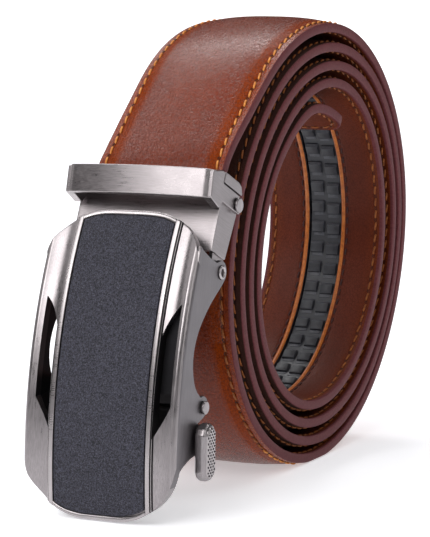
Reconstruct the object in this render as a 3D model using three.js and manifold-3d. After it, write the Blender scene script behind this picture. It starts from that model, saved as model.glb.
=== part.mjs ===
// Ratchet belt: a crowned leather strap rolled on its edge into a standing coil,
// with a toothed track let into the tail's inner face, a strap clamp with keeper
// bar and biting jaw, and an arched slide buckle with release lever.
// Millimetres. X runs along the coil's axis (across the strap), -Y is the buckle
// side, +Z is up. The origin is on the flat patch that the coil rests on.
import * as THREE from 'three';
import * as BufferGeometryUtils from 'three/addons/utils/BufferGeometryUtils.js';
import Module from 'manifold-3d';

const wasm = await Module();
wasm.setup();

// ---------------------------------------------------------------- sizes (mm)
const STRAP_W = 34.8;        // strap width
const STRAP_T = 2.45;        // thickness at the painted edge
const CROWN = 1.35;          // extra thickness at the middle of the outer turn
const CROWN_IN = 1.2;        // the same, on the turns that lie under another
const LAYER_GAP = 0.4;       // least space kept between two turns
const COIL_Y = 4, COIL_Z = 57; // centre that the coil table is measured from
const STATION = 7.0;         // length of strap between two sections
const TIP_R = 6.5;           // corner radius of the tail's tip
const SLOT_W = 10.0, SLOT_D = 1.55;   // recess for the track
const TRACK_W = 9.3, TRACK_BASE = 1.25, TOOTH_H = 0.85, TOOTH_PITCH = 5.8;
const TRACK_FROM_TIP = 9, TRACK_LEN = 400;

const HINGE = [-63.6, 57.6];   // buckle hinge axis (y, z)
const LEVER = [-74.0, 26.4];   // release lever axis
const LEAN = 24.5 * Math.PI / 180;   // lean of the clamp from upright
const ARC_C = [35.8, 7.1], ARC_R = 125;   // arched buckle face: centre, radius
const WALL_IN = 19.15, WALL_OUT = 20.5;   // buckle side walls, half widths
const RAIL_IN = 12.6, RAIL_OUT = 13.9;    // rim round the inlay
const CLEAR = 0.3;                        // gap kept between pieces

// Unrolled route of the strap's middle line: angle round the coil's centre
// (degrees, 90 is the top, counted down as the strap winds inwards) and radius.
const COIL_STEP = 20, COIL_FIRST = 140;
const COIL_R = [   // one row for each half turn, a value every 20 degrees
  58.05, 56.40, 56.65, 57.45, 58.15, 58.15, 57.25, 55.60, 53.90,
  53.20, 53.75, 55.05, 56.80, 58.40, 59.10, 58.05, 55.55, 52.70,
  50.95, 50.60, 51.15, 52.45, 53.90, 54.50, 53.80, 52.35, 50.75,
  50.00, 50.30, 51.20, 52.30, 53.10, 52.85, 51.20, 48.85, 46.70,
  45.45, 45.15, 45.95, 47.65, 49.40, 50.20, 49.60, 48.25, 46.95,
  46.10, 46.00, 46.60, 47.60, 48.40, 48.05, 46.30, 43.85, 41.60,
  40.30, 40.30, 41.50, 43.00, 43.75, 43.20, 41.80, 40.40, 39.50,
  39.40, 40.30, 41.60, 42.85, 43.60, 43.30, 41.65, 39.35, 37.55,
  36.35, 36.00, 36.50, 34.00];
const COIL_LAST = 38;     // degrees past the last full row entry that ends the tip
// the start of the strap, inside and just above the clamp: t along the clamp, n forward
const START = [{ t: 5.2, n: 2.05 }, { t: 12, n: 2.05 }, { t: 18, n: 2.05 }, { t: 23, n: 2.0 }, { t: 28, n: 1.3 }, { t: 33.4, n: -0.75 }];

// ---------------------------------------------------------------- helpers
const ct = (t, n) => [HINGE[0] + t * Math.sin(LEAN) - n * Math.cos(LEAN), HINGE[1] + t * Math.cos(LEAN) + n * Math.sin(LEAN)];
const polar = (c, r, deg) => [c[0] + r * Math.cos(deg * Math.PI / 180), c[1] + r * Math.sin(deg * Math.PI / 180)];
const arc = (c, r, a0, a1, n) => Array.from({ length: n + 1 }, (_, i) => polar(c, r, a0 + (a1 - a0) * i / n));

function solid(geometry) {
  const g = geometry.clone();
  g.deleteAttribute('normal'); g.deleteAttribute('uv');
  const m = BufferGeometryUtils.mergeVertices(g, 1e-4);
  return new wasm.Manifold(new wasm.Mesh({ numProp: 3, vertProperties: new Float32Array(m.attributes.position.array), triVerts: new Uint32Array(m.index.array) }));
}
function geometryOf(manifold) {
  const m = manifold.getMesh();
  const g = new THREE.BufferGeometry();
  g.setAttribute('position', new THREE.BufferAttribute(new Float32Array(m.vertProperties), 3));
  g.setIndex(new THREE.BufferAttribute(new Uint32Array(m.triVerts), 1));
  g.computeVertexNormals();
  return g;
}
function ccw(points) {
  let a = 0;
  points.forEach((p, i) => { const q = points[(i + 1) % points.length]; a += p[0] * q[1] - q[0] * p[1]; });
  return a > 0 ? points : [...points].reverse();
}
function extrude(points, depth) {
  const s = new THREE.Shape(ccw(points).map((p) => new THREE.Vector2(p[0], p[1])));
  return new THREE.ExtrudeGeometry(s, { depth, bevelEnabled: false });
}
// outline in (y, z), from x0 to x1
function prismX(points, x0, x1) {
  const g = extrude(points, x1 - x0);
  g.applyMatrix4(new THREE.Matrix4().set(0, 0, 1, x0, 1, 0, 0, 0, 0, 1, 0, 0, 0, 0, 0, 1));
  return solid(g);
}
// outline in (x, z), from y0 to y1
function prismY(points, y0, y1) {
  const g = extrude(points, y1 - y0);
  g.applyMatrix4(new THREE.Matrix4().set(1, 0, 0, 0, 0, 0, -1, y1, 0, 1, 0, 0, 0, 0, 0, 1));
  return solid(g);
}
const pinX = (c, r, x0, x1, n = 16) => prismX(Array.from({ length: n }, (_, i) => polar(c, r, 360 * i / n)), x0, x1);
const both = (f) => f(1).add(f(-1));
const spanX = (points, a, b) => (side) => prismX(points, side > 0 ? a : -b, side > 0 ? b : -a);
function unite(list) { return list.reduce((a, b) => a.add(b)); }

// smooth curve through points, by natural cubic splines on the chord length
function spline(knots, values) {
  const n = knots.length, m = new Array(n).fill(0), c = new Array(n).fill(0), d = new Array(n).fill(0);
  for (let i = 1; i < n - 1; i++) {
    const h0 = knots[i] - knots[i - 1], h1 = knots[i + 1] - knots[i];
    const b = 2 * (h0 + h1) - h0 * c[i - 1];
    c[i] = h1 / b;
    d[i] = (6 * ((values[i + 1] - values[i]) / h1 - (values[i] - values[i - 1]) / h0) - h0 * d[i - 1]) / b;
  }
  for (let i = n - 2; i > 0; i--) m[i] = d[i] - c[i] * m[i + 1];
  return (x) => {
    let i = 0;
    while (i < n - 2 && x > knots[i + 1]) i++;
    const h = knots[i + 1] - knots[i], a = (knots[i + 1] - x) / h, b = (x - knots[i]) / h;
    return a * values[i] + b * values[i + 1] + ((a * a * a - a) * m[i] + (b * b * b - b) * m[i + 1]) * h * h / 6;
  };
}

// ---------------------------------------------------------------- strap route
const routePoints = START.map((p) => ({ at: ct(p.t, p.n), deg: null }));
COIL_R.forEach((r, i) => {
  const last = i === COIL_R.length - 1;
  const deg = last ? COIL_FIRST - COIL_STEP * (i - 1) - COIL_LAST : COIL_FIRST - COIL_STEP * i;
  routePoints.push({ at: polar([COIL_Y, COIL_Z], r, deg), deg });
});
const chord = [0];
for (let i = 1; i < routePoints.length; i++) {
  const a = routePoints[i - 1].at, b = routePoints[i].at;
  chord.push(chord[i - 1] + Math.hypot(a[0] - b[0], a[1] - b[1]));
}
const yOf = spline(chord, routePoints.map((p) => p.at[0]));
const zOf = spline(chord, routePoints.map((p) => p.at[1]));
const L_END = chord[chord.length - 1];
function along(u) {
  const e = 0.05, a = Math.max(0, u - e), b = Math.min(L_END, u + e);
  const dy = yOf(b) - yOf(a), dz = zOf(b) - zOf(a), l = Math.hypot(dy, dz);
  return { y: yOf(u), z: zOf(u), ny: -dz / l, nz: dy / l };
}
// unwound angle of a point on the route, and the route's radius at an unwound angle
const turnKnots = [], turnR = [], turnU = [];
let unwound = null;
for (let u = 0; u <= L_END + 1e-6; u += 1) {
  const p = along(Math.min(u, L_END));
  let deg = Math.atan2(p.z - COIL_Z, p.y - COIL_Y) * 180 / Math.PI;
  if (unwound !== null) while (deg > unwound + 180) deg -= 360;
  unwound = deg;
  turnU.push(Math.min(u, L_END)); turnKnots.push(deg); turnR.push(Math.hypot(p.y - COIL_Y, p.z - COIL_Z));
}
function radiusAt(deg) {
  for (let i = 1; i < turnKnots.length; i++) {
    if (turnKnots[i] <= deg && turnKnots[i - 1] >= deg && turnKnots[i - 1] !== turnKnots[i]) {
      const f = (turnKnots[i - 1] - deg) / (turnKnots[i - 1] - turnKnots[i]);
      return turnR[i - 1] + f * (turnR[i] - turnR[i - 1]);
    }
  }
  return null;
}
const ramp = (x, a, b) => { const f = Math.min(1, Math.max(0, (x - a) / (b - a))); return f * f * (3 - 2 * f); };
const CLAMP_END = 18;     // strap length held in the clamp
function crownAt(u) {
  const i = Math.min(turnKnots.length - 1, Math.round(u));
  const above = radiusAt(turnKnots[i] + 360);
  let c = CROWN;
  if (turnKnots[i] < turnKnots[0] - 200) {
    c = CROWN_IN;
    if (above !== null) c = Math.min(c, above - turnR[i] - STRAP_T - LAYER_GAP);
  }
  return Math.max(0.05, c) * ramp(u, CLAMP_END - 2, CLAMP_END + 34) + 0.2 * (1 - ramp(u, CLAMP_END - 2, CLAMP_END + 34));
}
function halfWidth(u) {
  const e = L_END - u;
  if (e >= TIP_R) return STRAP_W / 2;
  const k = TIP_R - e;
  return STRAP_W / 2 - (TIP_R - Math.sqrt(Math.max(0, TIP_R * TIP_R - k * k)));
}
// closed skin swept along the route; rings of (x, offset) points, offset outwards
function sweep(stations, ring) {
  const pos = [], idx = [];
  let n = 0;
  stations.forEach((u) => {
    const p = along(u), pts = ring(u);
    n = pts.length;
    pts.forEach(([x, o]) => pos.push(x, p.y + p.ny * o, Math.max(0, p.z + p.nz * o)));
  });
  const rows = stations.length;
  for (let i = 0; i < rows - 1; i++) for (let j = 0; j < n; j++) {
    const k = (j + 1) % n, a = i * n + j, b = i * n + k, c = a + n, d = b + n;
    idx.push(a, b, d, a, d, c);
  }
  const cap = (row, flip) => {
    const pts = ring(stations[row]).map(([x, o]) => new THREE.Vector2(x, o));
    THREE.ShapeUtils.triangulateShape(pts, []).forEach(([a, b, c]) => idx.push(...(flip ? [a, c, b] : [a, b, c]).map((v) => v + row * n)));
  };
  cap(0, true); cap(rows - 1, false);
  const g = new THREE.BufferGeometry();
  g.setAttribute('position', new THREE.BufferAttribute(new Float32Array(pos), 3));
  g.setIndex(idx);
  return g;
}
function outward(geometry) {   // turns the faces out if the sweep came out inside-out
  const p = geometry.attributes.position, ix = geometry.index.array;
  let v = 0;
  const a = new THREE.Vector3(), b = new THREE.Vector3(), c = new THREE.Vector3();
  for (let i = 0; i < ix.length; i += 3) {
    a.fromBufferAttribute(p, ix[i]); b.fromBufferAttribute(p, ix[i + 1]); c.fromBufferAttribute(p, ix[i + 2]);
    v += a.dot(b.cross(c));
  }
  if (v < 0) for (let i = 0; i < ix.length; i += 3) { const t = ix[i]; ix[i] = ix[i + 1]; ix[i + 1] = t; }
  geometry.computeVertexNormals();
  return geometry;
}

const SLOT_END = L_END - TRACK_FROM_TIP + 0.6, SLOT_START = SLOT_END - TRACK_LEN - 1.2;
const strapStations = [];
for (let u = 0; u < L_END - TIP_R - 1; u += STATION) strapStations.push(u);
strapStations.push(L_END - TIP_R, L_END - 4.2, L_END - 2.2, L_END - 0.9, L_END - 0.15);
[SLOT_START - 0.3, SLOT_START, SLOT_END, SLOT_END + 0.3].forEach((u) => strapStations.push(u));
strapStations.sort((a, b) => a - b);
const strapRows = strapStations.filter((u, i, l) => i === 0 || u - l[i - 1] > 0.12);
function strapRing(u) {
  const w = halfWidth(u), c = crownAt(u), h = STRAP_T / 2;
  const inSlot = u > SLOT_START - 0.1 && u < SLOT_END + 0.1;
  const d = inSlot ? SLOT_D : 0;
  const dome = (f) => [w * f, h + c * (1 - Math.pow(Math.abs(f), 2.2))];
  return [[w, -h], dome(1), dome(0.78), dome(0.42), dome(0), dome(-0.42), dome(-0.78), dome(-1), [-w, -h],
    [-SLOT_W / 2, -h], [-SLOT_W / 2 + 0.05, -h + d], [SLOT_W / 2 - 0.05, -h + d], [SLOT_W / 2, -h]];
}
const strapGeometry = outward(sweep(strapRows, strapRing));

// ---------------------------------------------------------------- track
const TRACK_START = SLOT_END - 0.6 - TRACK_LEN;
const toothRow = [{ s: 0, drop: TOOTH_H }, { s: 0.5, drop: 0 }, { s: 3.4, drop: 0 }];
const teeth = Math.floor(TRACK_LEN / TOOTH_PITCH);
const trackRows = [];
for (let k = 0; k < teeth; k++) toothRow.forEach(({ s, drop }) => trackRows.push({ u: TRACK_START + k * TOOTH_PITCH + s, drop }));
trackRows.push({ u: TRACK_START + teeth * TOOTH_PITCH, drop: TOOTH_H });
const dropAt = new Map(trackRows.map((r) => [r.u, r.drop]));
const trackGeometry = outward(sweep(trackRows.map((r) => r.u), (u) => {
  const w = TRACK_W / 2, h = STRAP_T / 2;
  return [[w, -h + dropAt.get(u)], [w, -h + TRACK_BASE], [-w, -h + TRACK_BASE], [-w, -h + dropAt.get(u)]];
}));

// ---------------------------------------------------------------- strap clamp
const box = (t0, t1, n0, n1) => [ct(t0, n0), ct(t0, n1), ct(t1, n1), ct(t1, n0)];
const PLATE_B = 3.75, PLATE_F = 4.95;      // back and front of the clamp's plate
const CHEEK_IN = 17.75, CHEEK_OUT = 20.0;  // cheeks that carry the keeper bar
const JAW_PIN = [-53.8, 72.9];
const BAR_T0 = 14.9, BAR_T1 = 21.9, BAR_TH = 1.9, BAR_BOW = 2.0;
// keeper bar: bowed outline in (x, forward), drawn up its own slope
function keeperBar() {
  const lean = 16.5 * Math.PI / 180;
  const bow = (x, o) => [x, o + BAR_BOW * (1 - (x / CHEEK_OUT) ** 2)];
  const xs = Array.from({ length: 13 }, (_, i) => -CHEEK_OUT + 2 * CHEEK_OUT * i / 12);
  const front = xs.map((x) => bow(x, Math.abs(x) > 19.9 ? -0.7 : 0)), back = xs.map((x) => bow(x, -BAR_TH)).reverse();
  const g = extrude([...front, ...back], BAR_T1 - BAR_T0);
  const foot = ct(BAR_T0, 11.95), up = [Math.sin(lean), Math.cos(lean)], fw = [-Math.cos(lean), Math.sin(lean)];
  g.applyMatrix4(new THREE.Matrix4().set(1, 0, 0, 0, 0, fw[0], up[0], foot[0], 0, fw[1], up[1], foot[1], 0, 0, 0, 1));
  const m = new wasm.Mesh(solidMesh(g));
  return new wasm.Manifold(m);
}
function solidMesh(g) {   // that frame is left-handed, so its triangles are turned
  g.deleteAttribute('normal'); g.deleteAttribute('uv');
  const m = BufferGeometryUtils.mergeVertices(g, 1e-4), ix = new Uint32Array(m.index.array);
  const p = m.attributes.position;
  let v = 0;
  const a = new THREE.Vector3(), b = new THREE.Vector3(), c = new THREE.Vector3();
  for (let i = 0; i < ix.length; i += 3) {
    a.fromBufferAttribute(p, ix[i]); b.fromBufferAttribute(p, ix[i + 1]); c.fromBufferAttribute(p, ix[i + 2]);
    v += a.dot(b.cross(c));
  }
  if (v < 0) for (let i = 0; i < ix.length; i += 3) { const t = ix[i]; ix[i] = ix[i + 1]; ix[i + 1] = t; }
  return { numProp: 3, vertProperties: new Float32Array(p.array), triVerts: ix };
}
const plate = prismX(box(3.9, 20.55, PLATE_B, PLATE_F), -CHEEK_IN - 0.2, CHEEK_IN + 0.2).add(prismX(box(20, 22.6, PLATE_B, PLATE_F), -17.3, 17.3))
  .add(prismX(box(3.9, 16.4, PLATE_B, PLATE_F), -19.3, 19.3));
const lowerWall = [ct(3.9, PLATE_F), ct(16.4, PLATE_F), ct(16.4, -4.6), ct(3.9, -2.9)];
const lug = [...arc(HINGE, 3.0, 205, 330, 8), ct(4.6, -2.9), ct(6.2, -2.9), ct(6.2, 3.4), ct(2.4, 3.0)];
const cheek = [ct(16.2, -4.6), ct(16.2, 5.0), ct(14.2, 6.4), ct(15.0, 11.6), ct(BAR_T1 - 0.3, 12.7), ct(23.3, 7.9), ct(23.3, 6.5), ct(20.55, 6.5), ct(20.55, -3.0), ct(19.85, -4.4), ct(17.98, -4.9)];
let clamp = unite([plate, both(spanX(lowerWall, CHEEK_IN, 19.3)), both(spanX(lug, CHEEK_IN, 18.85)), both(spanX(cheek, CHEEK_IN, CHEEK_OUT)), keeperBar()]);
clamp = clamp.subtract(both((s) => pinX(HINGE, 1.5 + CLEAR, s > 0 ? 17 : -19.2, s > 0 ? 19.2 : -17)))
  .subtract(pinX(JAW_PIN, 1.3 + CLEAR, -22, 22, 12));

// jaw: flap behind the strap, with a biting lip and an ear over each cheek
const jawBack = [ct(16.4, -4.5), ct(17.98, -5.0), ct(21.6, -4.2), ct(23.0, -3.2), ct(23.4, -1.6), ct(23.4, -0.6), ct(21.9, 0.2), ct(21.2, 0.45), ct(20.9, 0.2), ct(20.2, -1.2), ct(16.9, -1.6)];
const jawEar = [ct(20.85, -4.3), ct(21.6, -4.2), ct(23.0, -3.2), ct(23.5, -1.6), ct(23.5, 6.2), ct(20.85, 6.2)];
const jaw = prismX(jawBack, -17.45, 17.45).add(both(spanX(jawEar, 17.3, 20.0)))
  .subtract(prismX(box(19, 25, -0.75, 6.6), -17.62, 17.62).subtract(prismX(jawBack, -17.45, 17.45)))
  .subtract(pinX(JAW_PIN, 1.3 + CLEAR, -22, 22, 12));
const jawPin = pinX(JAW_PIN, 1.3, -20.3, 20.5, 12).add(pinX(JAW_PIN, 1.85, 20.3, 20.9)).add(pinX(JAW_PIN, 1.85, -20.9, -20.3));

// ---------------------------------------------------------------- buckle housing
const band = (r0, r1, a0 = -4.5, a1 = 34, n = 15) => [...arc(ARC_C, r1, 180 - a0, 180 - a1, n), ...arc(ARC_C, r0, 180 - a1, 180 - a0, n)];
const half = (rows) => [...rows.map(({ x, z }) => [x, z]), ...[...rows].reverse().map(({ x, z }) => [-x, z])];
// front outlines: half widths x at heights z
const OUTLINE = half([{ x: 5, z: 0 }, { x: 9, z: 0.7 }, { x: 12.9, z: 2.6 }, { x: 15.4, z: 4.3 }, { x: 18, z: 7.2 }, { x: 19.7, z: 11 }, { x: 20.5, z: 15 }, { x: 20.5, z: 60.5 },
  { x: 20.1, z: 62.5 }, { x: 19.2, z: 64.7 }, { x: 17.6, z: 67.0 }, { x: 15.7, z: 69.0 }, { x: 13.9, z: 70.3 }, { x: 11, z: 71.8 }, { x: 7.5, z: 72.6 }]);
const POCKET = half([{ x: 5.5, z: 1.3 }, { x: 9, z: 2.0 }, { x: RAIL_IN, z: 3.6 }, { x: RAIL_IN, z: 69.9 }, { x: 10, z: 71.1 }, { x: 7, z: 71.7 }]);
const INLAY = half([{ x: 5.4, z: 1.65 }, { x: 8.9, z: 2.35 }, { x: RAIL_IN - CLEAR, z: 3.9 }, { x: RAIL_IN - CLEAR, z: 69.6 }, { x: 9.9, z: 70.75 }, { x: 7, z: 71.35 }]);
const WINDOW = [{ x: 18.4, z: 52 }, { x: 16.9, z: 49.8 }, { x: 15.4, z: 47.4 }, { x: 14.2, z: 44.8 }, { x: 14.05, z: 20.7 }, { x: 18.4, z: 28.3 }];
const windowCut = (s) => prismY(WINDOW.map(({ x, z }) => [x * s, z]), -95, -60);
const SIDE = [[-74.7, 62.9], [-72.6, 64.0], [-69.3, 62.9], [-65.6, 61.3], ...arc(HINGE, 3.2, 88, -62, 8), [-63.4, 54.2], [-66.8, 52.2], [-71.6, 48.8], [-75.7, 44.9], [-78.1, 40.6], [-78.8, 36.6],
  [-78.2, 33.0], [-76.8, 30.6], ...arc(LEVER, 2.8, 110, -35, 7), [-74.2, 23.6], [-77.2, 22.8], [-78.0, 21.4], [-78.0, 15.5], [-80.6, 15.2], [-83.9, 14.0], [-85.8, 12.6], [-87.6, 11.0],
  ...arc(ARC_C, ARC_R - 1.3, 177.6, 154.2, 12)];
let housing = prismX(band(ARC_R - 2.7, ARC_R), -RAIL_OUT, RAIL_OUT).add(prismX(band(ARC_R - 3.3, ARC_R - 1.0), -21, 21));
housing = housing.intersect(prismY(OUTLINE, -95, -60));
const LOWER_CORNERS = half([...[{ x: 17, z: 6 }, { x: 19.7, z: 11 }, { x: 20.5, z: 15 }], { x: 20.5, z: 80 }]);
housing = housing.add(both(spanX(SIDE, WALL_IN, WALL_OUT)).intersect(prismY(LOWER_CORNERS, -95, -50)));
housing = housing.subtract(windowCut(1)).subtract(windowCut(-1));
housing = housing.subtract(prismX(band(ARC_R - 1.05, ARC_R + 3), -RAIL_IN - 1, RAIL_IN + 1).intersect(prismY(POCKET, -95, -60)));
housing = housing.subtract(both((s) => pinX(HINGE, 1.5 + CLEAR, s > 0 ? 18 : -22, s > 0 ? 22 : -18)))
  .subtract(pinX(LEVER, 1.2 + CLEAR, -22, 22, 12));
const inlay = prismX(band(ARC_R - 0.75, ARC_R - 0.12), -RAIL_IN, RAIL_IN).intersect(prismY(INLAY, -95, -60));
const leverPin = pinX(LEVER, 1.2, -21.0, 21.0, 12).add(pinX(LEVER, 1.65, 20.8, 21.5)).add(pinX(LEVER, 1.65, -21.5, -20.8));
const hingeRivet = (s) => {
  const at = (a, b) => (s > 0 ? [a, b] : [-b, -a]);
  return pinX(HINGE, 1.5, ...at(17.3, 21.2)).add(pinX(HINGE, 1.95, ...at(20.8, 21.4))).add(pinX(HINGE, 1.9, ...at(16.85, 17.45)))
    .subtract(pinX(HINGE, 0.75, ...at(20.2, 22), 12));
};

// ---------------------------------------------------------------- release lever
const LEVER_HALF = 18.8;
const leverBody = [...arc(LEVER, 2.5, 55, -75, 7), [-72.6, 17.4], [-73.2, 14.6], [-75.0, 14.6], [-75.6, 18.0], ...arc(LEVER, 2.5, 205, 165, 3), [-77.6, 29.6], [-78.5, 31.4], [-77.6, 31.9], [-75.0, 30.2]];
const leverArm = [[-75.4, 21.6], [-72.4, 22.0], [-72.0, 16.0], [-74.6, 14.6], [-75.4, 15.4]];
const leverTab = [[-80.4, 12.0], [-79.6, 10.4], [-78.2, 9.5], [-76.4, 9.4], [-75.0, 10.3], [-74.4, 12.0], [-73.9, 20.6], [-74.6, 22.4], [-76.0, 23.3], [-77.6, 23.2], [-79.0, 22.4], [-79.9, 20.8]];
const lever = prismX(leverBody, -LEVER_HALF, LEVER_HALF).add(prismX(leverArm, LEVER_HALF - 1, 21.6)).add(prismX(leverTab, 21.0, 24.5))
  .subtract(pinX(LEVER, 1.2 + CLEAR, -22, 20.9, 12));

// ---------------------------------------------------------------- scene graph
const finish = {
  leather: { color: 0x8a4a2c, roughness: 0.45, metalness: 0 },
  plastic: { color: 0x2b2d31, roughness: 0.5, metalness: 0 },
  metal: { color: 0x8f8b89, roughness: 0.35, metalness: 1 },
  dark: { color: 0x34363c, roughness: 0.7, metalness: 0.2 },
};
const belt = new THREE.Group();
function piece(name, geometry, look) {
  const mesh = new THREE.Mesh(geometry, new THREE.MeshStandardMaterial(finish[look]));
  mesh.name = name;
  belt.add(mesh);
}
piece('strap', strapGeometry, 'leather');
piece('track', trackGeometry, 'plastic');
piece('clamp_frame', geometryOf(clamp), 'metal');
piece('clamp_jaw', geometryOf(jaw), 'metal');
piece('jaw_pin', geometryOf(jawPin), 'metal');
piece('hinge_rivet_right', geometryOf(hingeRivet(1)), 'metal');
piece('hinge_rivet_left', geometryOf(hingeRivet(-1)), 'metal');
piece('buckle_housing', geometryOf(housing), 'metal');
piece('inlay_panel', geometryOf(inlay), 'dark');
piece('lever_pin', geometryOf(leverPin), 'metal');
piece('release_lever', geometryOf(lever), 'metal');

export default belt;
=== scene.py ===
import bpy, bmesh, math
import numpy as np
from mathutils import Vector, Matrix


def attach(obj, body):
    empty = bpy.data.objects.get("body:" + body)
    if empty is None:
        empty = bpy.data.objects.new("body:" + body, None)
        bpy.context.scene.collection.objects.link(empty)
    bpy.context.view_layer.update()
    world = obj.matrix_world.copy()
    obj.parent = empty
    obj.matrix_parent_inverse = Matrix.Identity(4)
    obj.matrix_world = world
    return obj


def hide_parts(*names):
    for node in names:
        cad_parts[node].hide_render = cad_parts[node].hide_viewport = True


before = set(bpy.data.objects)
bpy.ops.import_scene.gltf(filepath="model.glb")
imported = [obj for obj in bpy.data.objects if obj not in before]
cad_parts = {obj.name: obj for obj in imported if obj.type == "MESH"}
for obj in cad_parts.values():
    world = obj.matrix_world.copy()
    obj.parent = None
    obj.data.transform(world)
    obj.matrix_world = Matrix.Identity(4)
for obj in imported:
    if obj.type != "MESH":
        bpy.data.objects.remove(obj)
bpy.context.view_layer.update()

MM = 0.001
rng = np.random.default_rng(7)

# ------------------------------------------------------------------ sizes (mm)
STRAP_W, STRAP_T, CROWN, CROWN_IN, LAYER_GAP = 34.8, 2.45, 1.35, 1.2, 0.4
COIL_Y, COIL_Z = 4.0, 57.0
TIP_R = 6.5
SLOT_W, SLOT_D = 10.0, 1.5
TRACK_W, TRACK_BASE, TOOTH_H, TOOTH_PITCH = 9.3, 1.25, 0.85, 5.8
TRACK_FROM_TIP, TRACK_LEN = 9.0, 400.0
HINGE = np.array([-63.6, 57.6])
LEVER = np.array([-74.0, 26.4])
JAW_PIN = np.array([-53.8, 72.9])
LEAN = math.radians(24.5)
ARC_C, ARC_R = np.array([35.8, 7.1]), 125.0
WALL_IN, WALL_OUT = 19.15, 20.5
RAIL_IN, RAIL_OUT = 12.6, 13.9
PLATE_B, PLATE_F = 3.75, 4.95
CHEEK_IN, CHEEK_OUT = 17.75, 20.0
BAR_T0, BAR_T1, BAR_TH, BAR_BOW = 14.9, 21.9, 1.9, 2.0
COIL_STEP, COIL_FIRST, COIL_LAST = 20, 140, 38
COIL_R = [
    58.05, 56.40, 56.65, 57.45, 58.15, 58.15, 57.25, 55.60, 53.90,
    53.20, 53.75, 55.05, 56.80, 58.40, 59.10, 58.05, 55.55, 52.70,
    50.95, 50.60, 51.15, 52.45, 53.90, 54.50, 53.80, 52.35, 50.75,
    50.00, 50.30, 51.20, 52.30, 53.10, 52.85, 51.20, 48.85, 46.70,
    45.45, 45.15, 45.95, 47.65, 49.40, 50.20, 49.60, 48.25, 46.95,
    46.10, 46.00, 46.60, 47.60, 48.40, 48.05, 46.30, 43.85, 41.60,
    40.30, 40.30, 41.50, 43.00, 43.75, 43.20, 41.80, 40.40, 39.50,
    39.40, 40.30, 41.60, 42.85, 43.60, 43.30, 41.65, 39.35, 37.55,
    36.35, 36.00, 36.50, 34.00]
START = [(5.2, 2.05), (12, 2.05), (18, 2.05), (23, 2.0), (28, 1.3), (33.4, -0.75)]
STITCH_PITCH, STITCH_IN = 3.45, 2.0
DOME_POW, OUTER_LIFT = 2.7, 0.75


# ------------------------------------------------------------------ geometry helpers
def ct(t, n):
    """clamp coordinates (t up the clamp, n forward) to (y, z)"""
    return (HINGE[0] + t * math.sin(LEAN) - n * math.cos(LEAN), HINGE[1] + t * math.cos(LEAN) + n * math.sin(LEAN))


def polar(c, r, deg):
    a = math.radians(deg)
    return (c[0] + r * math.cos(a), c[1] + r * math.sin(a))


def arc(c, r, a0, a1, n):
    return [polar(c, r, a0 + (a1 - a0) * i / n) for i in range(n + 1)]


def spline(k, v):
    k, v = np.asarray(k, float), np.asarray(v, float)
    n = len(k)
    h = np.diff(k)
    a = np.zeros((n, n)); b = np.zeros(n)
    a[0, 0] = a[-1, -1] = 1
    for i in range(1, n - 1):
        a[i, i - 1], a[i, i], a[i, i + 1] = h[i - 1], 2 * (h[i - 1] + h[i]), h[i]
        b[i] = 6 * ((v[i + 1] - v[i]) / h[i] - (v[i] - v[i - 1]) / h[i - 1])
    m = np.linalg.solve(a, b)

    def f(x):
        x = np.asarray(x, float)
        i = np.clip(np.searchsorted(k, x, side="right") - 1, 0, n - 2)
        A = (k[i + 1] - x) / h[i]
        B = (x - k[i]) / h[i]
        return A * v[i] + B * v[i + 1] + ((A ** 3 - A) * m[i] + (B ** 3 - B) * m[i + 1]) * h[i] ** 2 / 6
    return f


route = [ct(t, n) for t, n in START]
for i, r in enumerate(COIL_R):
    last = i == len(COIL_R) - 1
    deg = COIL_FIRST - COIL_STEP * (i - 1) - COIL_LAST if last else COIL_FIRST - COIL_STEP * i
    route.append(polar((COIL_Y, COIL_Z), r, deg))
route = np.array(route)
chord = np.concatenate([[0], np.cumsum(np.hypot(*np.diff(route, axis=0).T))])
y_of, z_of = spline(chord, route[:, 0]), spline(chord, route[:, 1])
L_END = chord[-1]


def along(u):
    """points and outward normals of the strap's middle line at lengths u (arrays)"""
    u = np.asarray(u, float)
    e = 0.05
    a, b = np.clip(u - e, 0, L_END), np.clip(u + e, 0, L_END)
    dy, dz = y_of(b) - y_of(a), z_of(b) - z_of(a)
    l = np.hypot(dy, dz)
    return y_of(np.clip(u, 0, L_END)), z_of(np.clip(u, 0, L_END)), -dz / l, dy / l


_tu = np.minimum(np.arange(0, math.floor(L_END) + 2, 1.0), L_END)
_ty, _tz, _, _ = along(_tu)
_deg = np.degrees(np.unwrap(np.arctan2(_tz - COIL_Z, _ty - COIL_Y)))
_rad = np.hypot(_ty - COIL_Y, _tz - COIL_Z)


def radius_at(deg):
    for i in range(1, len(_deg)):
        if _deg[i] <= deg <= _deg[i - 1] and _deg[i] != _deg[i - 1]:
            f = (_deg[i - 1] - deg) / (_deg[i - 1] - _deg[i])
            return _rad[i - 1] + f * (_rad[i] - _rad[i - 1])
    return None


def ramp(x, a, b):
    f = np.clip((np.asarray(x, float) - a) / (b - a), 0, 1)
    return f * f * (3 - 2 * f)


_crown = []
for i in range(len(_tu)):
    c = CROWN
    if _deg[i] < _deg[0] - 200:
        c = CROWN_IN
        above = radius_at(_deg[i] + 360)
        if above is not None:
            c = min(c, above - _rad[i] - STRAP_T - LAYER_GAP)
    _crown.append(max(0.05, c))
_crown = np.array(_crown)
_crown = np.convolve(np.pad(_crown, 6, mode="edge"), np.ones(13) / 13, mode="valid")


def crown_at(u):
    k = ramp(u, 16, 52)
    return np.interp(u, _tu, _crown) * k + 0.2 * (1 - k)


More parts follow.
